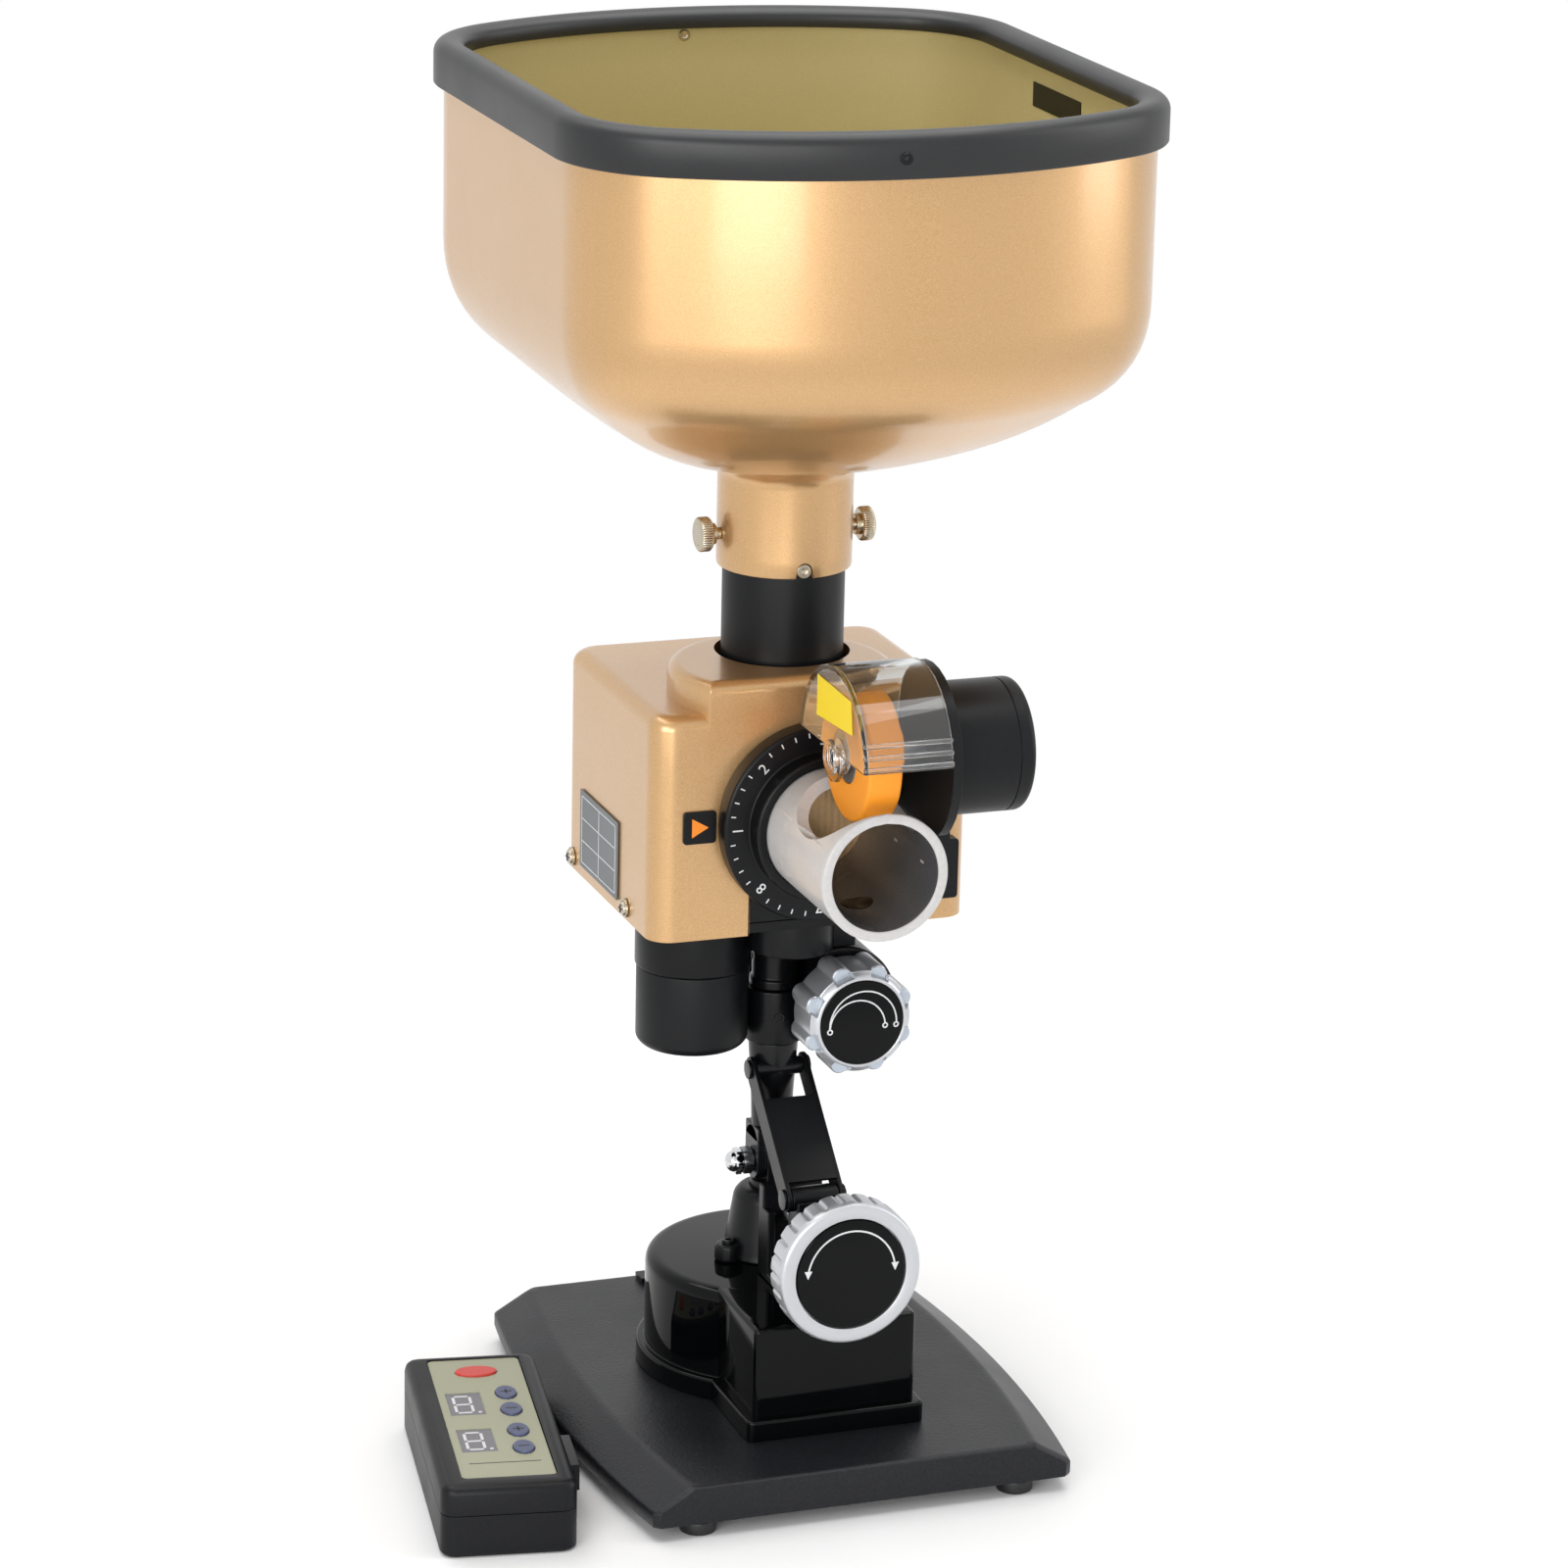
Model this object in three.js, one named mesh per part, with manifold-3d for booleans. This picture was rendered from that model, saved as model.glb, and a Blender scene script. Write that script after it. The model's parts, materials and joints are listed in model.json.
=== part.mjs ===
// Table tennis robot: a weighted base, a tilting and panning head, a turning
// shooter with a throwing wheel, a ball hopper, and a loose control box.
// Millimetres, +Z up, front towards -Y. The origin is on the table, under the
// middle of the whole, and inside the root group sizes count from the plate's middle.
import * as THREE from 'three';
import { mergeVertices } from 'three/addons/utils/BufferGeometryUtils.js';
import Module from 'manifold-3d';

const wasm = await Module();
wasm.setup();

// Clearances shared by all pieces
const gap = 0.3;
const runningGap = 0.5;
const overrun = 1;
const weldDistance = 0.0001;

// Counts of flats on round forms
const fineFlats = 32;
const plainFlats = 24;
const smallFlats = 12;
const tinyFlats = 8;
const hexFlats = 6;
const filletSteps = 3;
const chamferSteps = 1;

// The ball that every passage is sized for
const ballDiameter = 40;
const ballClearance = 2.3;
const passageRadius = ballDiameter / 2 + ballClearance;

// Base plate on four feet
const footHeight = 6;
const footRadius = 7.5;
const footInsetSide = 21;
const footInsetEnd = 9.5;
const plateDepth = 221;
const plateEndWidth = 178.2;
const plateSideBulge = 9.5;
const plateThickness = 16.2;
const plateCorner = 3;
const bevelWidth = 16;
const bevelDrop = 9.5;
const endChamfer = 1.5;

// Cover on the plate: a drum with a square nose to the front
const axisY = 10.5;
const coverHeight = 47;
const coverWall = 3;
const drumRadius = 51.5;
const drumEdge = 5;
const noseHalfWidth = 34.7;
const noseReach = 71.8;
const noseEdge = 2;
const skirtHeight = 8.7;
const skirtOut = 3.4;

// Power socket on the plate's rear edge
const inletWidth = 8;
const inletLength = 9;
const inletHeight = 2.4;
const inletOffset = 22;
const inletSetback = 1.5;
const inletHoleShare = 0.55;

// Post, its boot, and the tilt hinge
const pivotRise = 41;
const postRadius = 8.4;
const tongueHalf = 4;
const hingeHalfDepth = 8;
const bootFootRadius = 19.5;
const bootTopRadius = 15;
const bootHeight = 29;
const bootEdge = 3;
const bootLugRadius = 5.8;
const bootLugHeight = 7;
const bootLugOut = 20;
const boltRadius = 3;
const boltHeadAcross = 10;
const boltHeadHeight = 4;
const hexNutHeight = 4.3;
const acornBaseHeight = 3;
const acornDomeHeight = 3.6;
const acornDomeRadius = 4.4;
const acornBoreDepth = 3.6;

// Neck above the hinge
const cheekThickness = 4;
const forkShoulder = 15.5;
const slotShoulder = 9.5;
const neckWaistHeight = 30;
const neckWaistRadius = 8.8;
const neckTopHeight = 53;
const neckTopRadius = 10.4;
const stubRadius = 7;
const stubHeight = 12;
const collarRadius = 12.1;
const collarHeight = 23;

// Elevation gear: knob, screw, nut and link
const screwRise = 26.5;
const screwRadius = 4;
const screwRearY = -13.5;
const cradleHalfWidth = 13;
const cradleFloor = 3.2;
const cradleFrontY = -66;
const cradleRearY = -12;
const cradleWall = 5.5;
const cheekTop = 30;
const cheekInner = 9.6;
const cheekFrontY = -24;
const wallRise = 13;
const nutHalfWidth = 8.5;
const nutHalfDepth = 6;
const nutDrop = 10;
const nutY = -40.6;
const trunnionRise = 15.8;
const trunnionBoss = 5;
const linkPinRadius = 3;
const linkEyeRadius = 5.2;
const linkHalfInner = 10.4;
const linkWall = 1.8;
const webThickness = 1.8;
const webShares = [0.085, 0.72];
const upperPinY = 4.5;
const upperPinDrop = 10.9;
const upperLugRadius = 3.7;
const upperPinRadius = 2.6;
const upperPinPlay = 0.7;
const pinHeadHeight = 0.9;
const pinHeadLip = 1.4;
const loopRadius = 30.2;
const loopFaceY = -87;
const loopThickness = 14;
const loopHubRadius = 9;
const loopCapRadius = 23.1;
const loopCapDome = 1.4;
const loopCapSeat = 2.4;
const loopFlutes = 26;
const loopFluteDepth = 1.1;
const loopFlutePower = 4;
const pointsPerFlute = 3;
const loopRimHeight = 2.4;

// Head base, pan hub and sweep unit
const headPlateThickness = 4;
const panShaftRadius = 9.5;
const panSpigotRadius = 6.6;
const panSpigotLength = 10.5;
const panShaftLength = 22;
const hubHeight = 14;
const hubRadius = 17.5;
const hubReach = 18.5;
const sweepLeft = 13;
const sweepFrontY = -14.5;
const sweepDepth = 45;
const sweepEdge = 1.5;
const bridgeLeft = -6;
const bridgeDepth = 6;
const bridgeDrop = 30;
const tongueRight = 26;
const angleX = 20;
const angleDrop = 24.4;
const angleFaceY = -39.4;
const angleThickness = 23;
const angleRadius = 21.6;
const angleLobes = 8;
const angleLobeRadius = 5.1;
const angleLobeOut = 19;
const angleCapRadius = 17.9;
const angleCapDome = 1.1;
const angleShaftRadius = 3;
const angleShaftBite = 12;

// Head cover
const coverHalf = 67.5;
const headFrontY = -31;
const headRearY = 84;
const headWall = 2.5;
const shoulderRise = 46;
const headCorner = 10;
const headEdge = 6;
const crownRise = 13;
const crownRadius = 46;
const crownX = -6;
const crownY = -6;
const crownEdge = 5;
const topHoleRadius = 27.5;
const frontHoleRadius = 27.3;
const notchLeft = -27;
const notchRight = 45;
const notchDrop = 26;
const pointerWidth = 13.8;
const pointerHeight = 13.4;
const pointerX = -48.4;
const pointerThickness = 0.8;
const plateFrontY = 12;
const plateLength = 49;
const plateRise = 5.1;
const plateHeight = 33;
const plateThin = 0.7;
const coverScrewRadius = 4;
const coverScrewHead = 2;
const coverScrewRise = 5;
const coverScrewFrontY = 2.3;
const coverScrewRearY = 73;

// Feeding: block, star wheel and motor
const muzzleRise = 47.6;
const blockRise = 25;
const blockRight = 32;
const blockRearY = 42;
const starX = -35.8;
const starRadius = 26.3;
const starHub = 9;
const starArms = 4;
const starHeight = 16;
const starArmPower = 2.4;
const pointsPerArm = 12;
const pocketRadius = 27.6;
const pocketSpace = 20;
const starShaftRadius = 3.7;
const gearboxRadius = 23.8;
const gearboxHeight = 23.1;
const feedMotorRadius = 23.1;
const feedMotorHeight = 34;
const motorEdge = 3;
const ventWidth = 3;
const ventDepth = 1.2;
const ventCount = 4;

// Feed tube and hopper
const tubeWall = 2.5;
const bareTube = 36;
const tubeSetback = 1.5;
const hopperCollarRadius = 27.4;
const collarPlay = 0.3;
const throatRise = 30;
const hopperWall = 2.6;
const hopperRise = 201.6;
const rimOverhang = 4.2;
const rimHalfX = 123;
const rimHalfY = 147.6;
const rimBulgeRadius = 199;
const rimCornerRadius = 56;
const rimHeight = 17.5;
const rimBand = 3.7;
const rimInnerWidth = 12.6;
const rimInnerDrop = 8;
const sideSteps = 2;
const cornerSteps = 4;
const bulgeSteps = 3;
const flareSteps = 2;
const flareRise = 36;
const neckRise = 45.9;
const slopeRise = 55;
const turnRise = 81;
const kneeRise = 94;
const wallFootRise = 122;
const turnShare = 0.8;
const slopeShare = 0.5;
const neckShare = 0.1;
const thumbRise = 14;
const thumbStemRadius = 2.5;
const thumbStemLength = 4.6;
const thumbShoulderRadius = 4.4;
const thumbShoulderLength = 2;
const thumbHeadRadius = 7;
const thumbHeadLength = 5.5;
const thumbRidges = 12;
const thumbRidgeDepth = 0.5;
const frontNotchX = -1;
const frontNotchRadius = 3.4;
const frontNotchDepth = 3.2;

// Shooter: dial, outlet, bracket, motor, guard and wheel
const dialRadius = 40.7;
const dialThickness = 9;
const dialEdge = 1.5;
const dialHubRadius = 30.1;
const dialHubReach = 9;
const outletWall = 4;
const mouthReach = 73;
const wheelReach = 45;
const wheelRise = 42;
const wheelRadius = 25.7;
const wheelWidth = 14;
const wheelEdge = 1.2;
const wheelBore = 11;
const wheelWindow = 31.3;
const axleRadius = 4;
const bracketX = 24;
const bracketThickness = 4;
const bracketRadius = 35.6;
const flangeThickness = 6;
const flangeRight = 53;
const flangeFootRight = 57;
const flangeFootDrop = 9;
const flangeDrop = 34;
const flangeRise = 47;
const bracketWebRise = 13;
const throwMotorRadius = 26.5;
const throwMotorLength = 34.5;
const throwMotorEdge = 6;
const guardX = -13.2;
const guardRadius = 36.5;
const guardWall = 2;
const guardSkirt = 3;
const guardLugRadius = 10;
const guardEyeRadius = 5;
const washerRadius = 7;
const washerThickness = 1.2;
const wheelScrewRadius = 4;
const wheelScrewHead = 4.2;

// Control box
const boxX = -136;
const boxY = -37.2;
const boxTurn = -9.5;
const boxHalfX = 27.3;
const boxHalfY = 67;
const boxHeight = 30;
const boxCorner = 6;
const boxEdge = 3.5;
const lidHeight = 12;
const boxWall = 2.4;
const panelHalfX = 18.9;
const panelHalfY = 59.8;
const panelX = 1;
const panelY = 2.5;
const panelCorner = 2.5;
const panelThickness = 1.2;
const panelDrop = 0.6;
const keyTravelRoom = 1.1;
const keyProud = 0.9;
const keyHalfX = 4.3;
const keyHalfY = 6.2;
const stopHalfX = 8.6;
const stopHalfY = 5;
const keyPlay = 0.35;
const keyX = 10.3;
const keyUpperY = 25.8;
const keyLowerY = -12.3;
const keyPitch = 17;
const stopX = 0.8;
const stopY = 48.7;
const windowX = -7.4;
const windowHalfX = 7.2;
const windowHalfY = 11.5;
const windowUpperY = 17;
const windowLowerY = -19.8;
const windowDepth = 0.5;
const hookWidth = 30;
const hookReach = 4.5;
const hookThickness = 2.4;
const hookY = -22;
const hookDrop = 11;

// Places worked out from the sizes above
const plateTop = footHeight + plateThickness;
const coverLow = plateTop + gap;
const coverTop = coverLow + coverHeight;
const pivotHeight = coverTop + pivotRise;
const cheekHalf = tongueHalf + runningGap + cheekThickness;
const neckTop = pivotHeight + neckTopHeight;
const screwHeight = coverTop + screwRise;
const trunnionHeight = screwHeight + trunnionRise;
const upperPinHeight = neckTop - upperPinDrop;
const loopBackY = loopFaceY + loopThickness;
const collarFoot = neckTop + gap;
const panShaftLow = collarFoot + collarHeight + gap;
const hubLow = panShaftLow + panShaftLength;
const hubTop = hubLow + hubHeight;
const headBottom = hubTop + gap;
const angleHeight = hubLow - angleDrop;
const muzzleHeight = headBottom + muzzleRise;
const blockTop = muzzleHeight + blockRise;
const shoulderHeight = muzzleHeight + shoulderRise;
const crownHeight = shoulderHeight + crownRise;
const hopperLow = crownHeight + bareTube;
const throatHeight = hopperLow + throatRise;
const tubeTop = throatHeight - tubeSetback;
const hopperTop = hopperLow + hopperRise;
const dialFaceY = headFrontY - dialThickness;
const mouthY = dialFaceY - mouthReach;
const wheelY = dialFaceY - wheelReach;
const wheelHeight = muzzleHeight + wheelRise;
const outletRadius = passageRadius - gap + outletWall;
const tubeRadius = passageRadius + tubeWall;

// Looks
const looks = {
  goldPaint: [0xc9a46c, 0.42, 0.35],
  blackPaint: [0x1d1f22, 0.5, 0.2],
  glossBlack: [0x0c0d0f, 0.15, 0],
  satinBlack: [0x17181a, 0.55, 0],
  silver: [0xc6c8cb, 0.35, 0.7],
  chrome: [0xd8d8d8, 0.12, 1],
  steel: [0x8d8f92, 0.35, 1],
  nickel: [0xb9b3a6, 0.3, 1],
  rubber: [0x141414, 0.85, 0],
  paleTube: [0xd6d5d2, 0.3, 0],
  orange: [0xf29a1a, 0.6, 0],
  clear: [0xeef2f4, 0.05, 0],
  panelBeige: [0xb3b294, 0.6, 0],
  keyBlue: [0x596078, 0.5, 0],
  keyRed: [0xe0483a, 0.45, 0],
  labelGrey: [0x77797b, 0.4, 0.5],
};

// Surfaces, joins and cuts

// Welds a triangle soup into a closed body and turns its faces outwards.
function closed(geometry) {
  const bare = new THREE.BufferGeometry();
  bare.setAttribute('position', geometry.getAttribute('position').clone());
  if (geometry.index) bare.setIndex(geometry.index.clone());
  const welded = mergeVertices(bare, weldDistance);
  const corners = welded.index.array;
  const spots = welded.getAttribute('position');
  const at = (i) => new THREE.Vector3().fromBufferAttribute(spots, i);
  const kept = [];
  let volume = 0;
  for (let i = 0; i < corners.length; i += 3) {
    const [a, b, c] = corners.slice(i, i + 3);
    if (a === b || b === c || c === a) continue;
    kept.push(a, b, c);
    volume += at(a).dot(at(b).cross(at(c)));
  }
  welded.setIndex(volume < 0 ? kept.reverse() : kept);
  return welded;
}

function toSolid(geometry) {
  const triVerts = Uint32Array.from(geometry.index.array);
  const vertProperties = Float32Array.from(geometry.getAttribute('position').array);
  return new wasm.Manifold(new wasm.Mesh({ numProp: 3, vertProperties, triVerts }));
}

function fromSolid(solid) {
  const result = solid.getMesh();
  const geometry = new THREE.BufferGeometry();
  geometry.setAttribute('position', new THREE.BufferAttribute(result.vertProperties, 3));
  geometry.setIndex(new THREE.BufferAttribute(result.triVerts, 1));
  return geometry;
}

const join = (first, ...others) =>
  fromSolid(others.reduce((sum, other) => sum.add(toSolid(other)), toSolid(first)));

const cut = (first, ...tools) =>
  fromSolid(tools.reduce((sum, tool) => sum.subtract(toSolid(tool)), toSolid(first)));

const common = (first, second) => fromSolid(toSolid(first).intersect(toSolid(second)));

// Directions across and along each axis: an outline's u and v, then its depth
const X = new THREE.Vector3(1, 0, 0);
const Y = new THREE.Vector3(0, 1, 0);
const Z = new THREE.Vector3(0, 0, 1);
const bases = { x: [Y, Z, X], y: [X, Z, Y], z: [X, Y, Z] };

// Moves a form from its own u, v, depth axes onto the named axis.
function along(axis, geometry, [u, v] = [0, 0], depth = 0) {
  const matrix = new THREE.Matrix4().makeBasis(...bases[axis]);
  return closed(geometry.translate(u, v, depth).applyMatrix4(matrix));
}

// A turned form: points are [radius, place along the axis], from axis to axis.
function turned(axis, points, across, flats = plainFlats) {
  const profile = points.map(([radius, height]) => new THREE.Vector2(radius, height));
  return along(axis, new THREE.LatheGeometry(profile, flats).rotateX(Math.PI / 2), across);
}

const rod = (axis, radius, from, to, across, flats) =>
  turned(axis, [[0, from], [radius, from], [radius, to], [0, to]], across, flats);

function ring(axis, inner, outer, from, to, across, flats) {
  const points = [[inner, from], [outer, from], [outer, to], [inner, to], [inner, from]];
  return turned(axis, points, across, flats);
}

// A flat outline given depth along an axis.
function plate(axis, points, from, to) {
  const shape = new THREE.Shape(points.map(([u, v]) => new THREE.Vector2(u, v)));
  const options = { depth: to - from, bevelEnabled: false };
  return along(axis, new THREE.ExtrudeGeometry(shape, options), [0, 0], from);
}

function block([x0, x1], [y0, y1], [z0, z1]) {
  const geometry = new THREE.BoxGeometry(x1 - x0, y1 - y0, z1 - z0);
  return closed(geometry.translate((x0 + x1) / 2, (y0 + y1) / 2, (z0 + z1) / 2));
}

// Skins a stack of outlines that have as many points each, with flat ends.
function loft(layers) {
  const count = layers[0].points.length;
  const spots = [];
  const faces = [];
  for (const { points, height } of layers) {
    for (const [x, y] of points) spots.push(x, y, height);
  }
  for (let layer = 0; layer + 1 < layers.length; layer += 1) {
    for (let i = 0; i < count; i += 1) {
      const j = (i + 1) % count;
      const [a, b] = [layer * count + i, layer * count + j];
      faces.push(a, b, b + count, a, b + count, a + count);
    }
  }
  const cap = (points) => THREE.ShapeUtils.triangulateShape(
    points.map(([x, y]) => new THREE.Vector2(x, y)), []);
  const last = (layers.length - 1) * count;
  for (const [a, b, c] of cap(layers[0].points)) faces.push(c, b, a);
  for (const [a, b, c] of cap(layers[layers.length - 1].points)) {
    faces.push(last + a, last + b, last + c);
  }
  const geometry = new THREE.BufferGeometry();
  geometry.setAttribute('position', new THREE.Float32BufferAttribute(spots, 3));
  geometry.setIndex(faces);
  return closed(geometry);
}

// Skins outlines that run round a wall and back to the first one.
function wrap(layers) {
  const count = layers[0].points.length;
  const spots = [];
  const faces = [];
  for (const { points, height } of layers) {
    for (const [x, y] of points) spots.push(x, y, height);
  }
  for (let layer = 0; layer < layers.length; layer += 1) {
    const next = (layer + 1) % layers.length;
    for (let i = 0; i < count; i += 1) {
      const j = (i + 1) % count;
      const [a, b] = [layer * count + i, layer * count + j];
      const [c, d] = [next * count + j, next * count + i];
      faces.push(a, b, c, a, c, d);
    }
  }
  const geometry = new THREE.BufferGeometry();
  geometry.setAttribute('position', new THREE.Float32BufferAttribute(spots, 3));
  geometry.setIndex(faces);
  return closed(geometry);
}

// An outline of a rectangle whose corners are arcs.
function roundedRectangle(halfX, halfY, corner, [midX, midY] = [0, 0], steps = filletSteps) {
  const points = [];
  const signs = [[1, 1], [-1, 1], [-1, -1], [1, -1]];
  signs.forEach(([sx, sy], quarter) => {
    for (let i = 0; i <= steps; i += 1) {
      const angle = (Math.PI / 2) * (quarter + i / steps);
      const x = sx * (halfX - corner) + corner * Math.cos(angle);
      points.push([midX + x, midY + sy * (halfY - corner) + corner * Math.sin(angle)]);
    }
  });
  return points;
}

// A slab whose upright walls end in a quarter round: outline(inset) gives its plan.
function softSlab(outline, low, high, topEdge, lowEdge = 0, steps = filletSteps) {
  const layers = [];
  const turn = Math.PI / 2 / steps;
  if (lowEdge > 0) {
    for (let i = 0; i <= steps; i += 1) {
      const inset = lowEdge * (1 - Math.sin(i * turn));
      layers.push({ points: outline(inset), height: low + lowEdge * (1 - Math.cos(i * turn)) });
    }
  } else {
    layers.push({ points: outline(0), height: low });
  }
  for (let i = 0; i <= steps; i += 1) {
    const inset = topEdge * (1 - Math.cos(i * turn));
    layers.push({ points: outline(inset), height: high - topEdge * (1 - Math.sin(i * turn)) });
  }
  return loft(layers);
}

const circleOutline = (radius, [x, y] = [0, 0], flats = plainFlats) =>
  Array.from({ length: flats }, (_, i) => {
    const angle = (2 * Math.PI * i) / flats;
    return [x + radius * Math.cos(angle), y + radius * Math.sin(angle)];
  });

// An outline whose radius is a function of the angle.
const polarOutline = (radiusAt, count, [x, y] = [0, 0]) =>
  Array.from({ length: count }, (_, i) => {
    const angle = (2 * Math.PI * i) / count;
    return [x + radiusAt(angle) * Math.cos(angle), y + radiusAt(angle) * Math.sin(angle)];
  });

// The hull of two equal circles, from a to b.
function capsuleOutline([ax, ay], [bx, by], radius, steps = tinyFlats) {
  const heading = Math.atan2(by - ay, bx - ax);
  const points = [];
  for (let i = 0; i <= steps; i += 1) {
    const angle = heading + Math.PI / 2 + (Math.PI * i) / steps;
    points.push([ax + radius * Math.cos(angle), ay + radius * Math.sin(angle)]);
  }
  for (let i = 0; i <= steps; i += 1) {
    const angle = heading - Math.PI / 2 + (Math.PI * i) / steps;
    points.push([bx + radius * Math.cos(angle), by + radius * Math.sin(angle)]);
  }
  return points;
}

const hexOutline = (across, centre) => circleOutline(across / Math.sqrt(3), centre, hexFlats);

// The object: one group, one named mesh per piece

const robot = new THREE.Group();

function piece(name, geometry, look, parent = robot) {
  const [color, roughness, metalness] = looks[look];
  const material = new THREE.MeshStandardMaterial({ color, roughness, metalness });
  const mesh = new THREE.Mesh(geometry, material);
  mesh.name = name;
  parent.add(mesh);
}

// Base

function basePlate() {
  const halfDepth = plateDepth / 2;
  const outline = (sideInset, endInset) => {
    const points = [];
    const reach = halfDepth - endInset;
    const steps = tinyFlats;
    const middle = (share) => plateEndWidth / 2 + plateSideBulge * (1 - share * share);
    for (const side of [1, -1]) {
      for (let i = 0; i <= steps; i += 1) {
        const share = side * ((2 * i) / steps - 1);
        const isCorner = i === 0 || i === steps;
        const x = side * (middle(share) - sideInset);
        if (!isCorner) points.push([x, share * reach]);
        else if (i === 0) {
          points.push([x - side * plateCorner, share * reach]);
          points.push([x, share * (reach - plateCorner)]);
        } else {
          points.push([x, share * (reach - plateCorner)]);
          points.push([x - side * plateCorner, share * reach]);
        }
      }
    }
    return points;
  };
  const shoulder = plateTop - bevelDrop;
  const bevelShare = (bevelDrop - endChamfer) / bevelDrop;
  return loft([
    { points: outline(endChamfer, endChamfer), height: footHeight },
    { points: outline(0, 0), height: footHeight + endChamfer },
    { points: outline(0, 0), height: shoulder },
    { points: outline(bevelWidth * bevelShare, 0), height: plateTop - endChamfer },
    { points: outline(bevelWidth, endChamfer), height: plateTop },
  ]);
}

function buildBase() {
  piece('base_plate', basePlate(), 'blackPaint');
  const footX = plateEndWidth / 2 - footInsetSide;
  const footY = plateDepth / 2 - footInsetEnd;
  const corners = { front_left: [-1, -1], front_right: [1, -1], rear_left: [-1, 1], rear_right: [1, 1] };
  for (const [name, [sx, sy]] of Object.entries(corners)) {
    const profile = [[0, 0], [footRadius - endChamfer, 0], [footRadius, endChamfer],
      [footRadius, footHeight - gap], [0, footHeight - gap]];
    piece(`foot_${name}`, turned('z', profile, [sx * footX, sy * footY], smallFlats), 'rubber');
  }
  piece('turret_cover', turretCover(), 'glossBlack');
  const rear = plateDepth / 2 - endChamfer - inletSetback;
  const inlet = block([-inletOffset - inletWidth / 2, -inletOffset + inletWidth / 2],
    [rear - inletLength, rear], [coverLow, coverLow + inletHeight]);
  const holeHalf = (inletWidth * inletHoleShare) / 2;
  const holeLow = coverLow + (inletHeight * (1 - inletHoleShare)) / 2;
  const inletHole = block([-inletOffset - holeHalf, -inletOffset + holeHalf],
    [rear - inletLength * inletHoleShare, rear + overrun], [holeLow, holeLow + inletHeight * inletHoleShare]);
  piece('power_inlet', cut(inlet, inletHole), 'satinBlack');
}

function turretCover() {
  const drum = (radius, low, high, edge, steps) =>
    softSlab((inset) => circleOutline(radius - inset, [0, axisY], fineFlats), low, high, edge, 0, steps);
  const nose = (out, low, high) => {
    const front = -noseReach - out;
    const half = noseHalfWidth + out;
    const middle = [0, (front + axisY) / 2];
    return softSlab((inset) => roundedRectangle(half - inset, (axisY - front) / 2 - inset,
      Math.max(noseEdge - inset, gap), middle, chamferSteps), low, high, noseEdge, 0, chamferSteps);
  };
  const skirtTop = coverLow + skirtHeight;
  const outside = join(
    drum(drumRadius, coverLow, coverTop, drumEdge, filletSteps),
    nose(0, coverLow, coverTop),
    drum(drumRadius + skirtOut, coverLow, skirtTop, noseEdge, chamferSteps),
    nose(skirtOut, coverLow, skirtTop));
  const roof = coverTop - coverWall;
  const inner = noseHalfWidth - coverWall;
  return cut(outside,
    rod('z', drumRadius - coverWall, coverLow - overrun, roof, [0, axisY], fineFlats),
    block([-inner, inner], [-noseReach + coverWall, axisY], [coverLow - overrun, roof]),
    rod('z', postRadius + runningGap, roof - overrun, coverTop + overrun, [0, axisY]));
}

// Tilt hinge: post, boot, bolt and nuts

// A tab in the Y-Z plane with a round end on the hinge's centre.
function hingeTab(foot, towards) {
  const points = [];
  for (let i = 0; i <= tinyFlats; i += 1) {
    const angle = (Math.PI * i) / tinyFlats;
    const y = axisY + towards * hingeHalfDepth * Math.cos(angle);
    points.push([y, pivotHeight + towards * hingeHalfDepth * Math.sin(angle)]);
  }
  points.push([axisY - towards * hingeHalfDepth, foot]);
  points.push([axisY + towards * hingeHalfDepth, foot]);
  return points;
}

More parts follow.
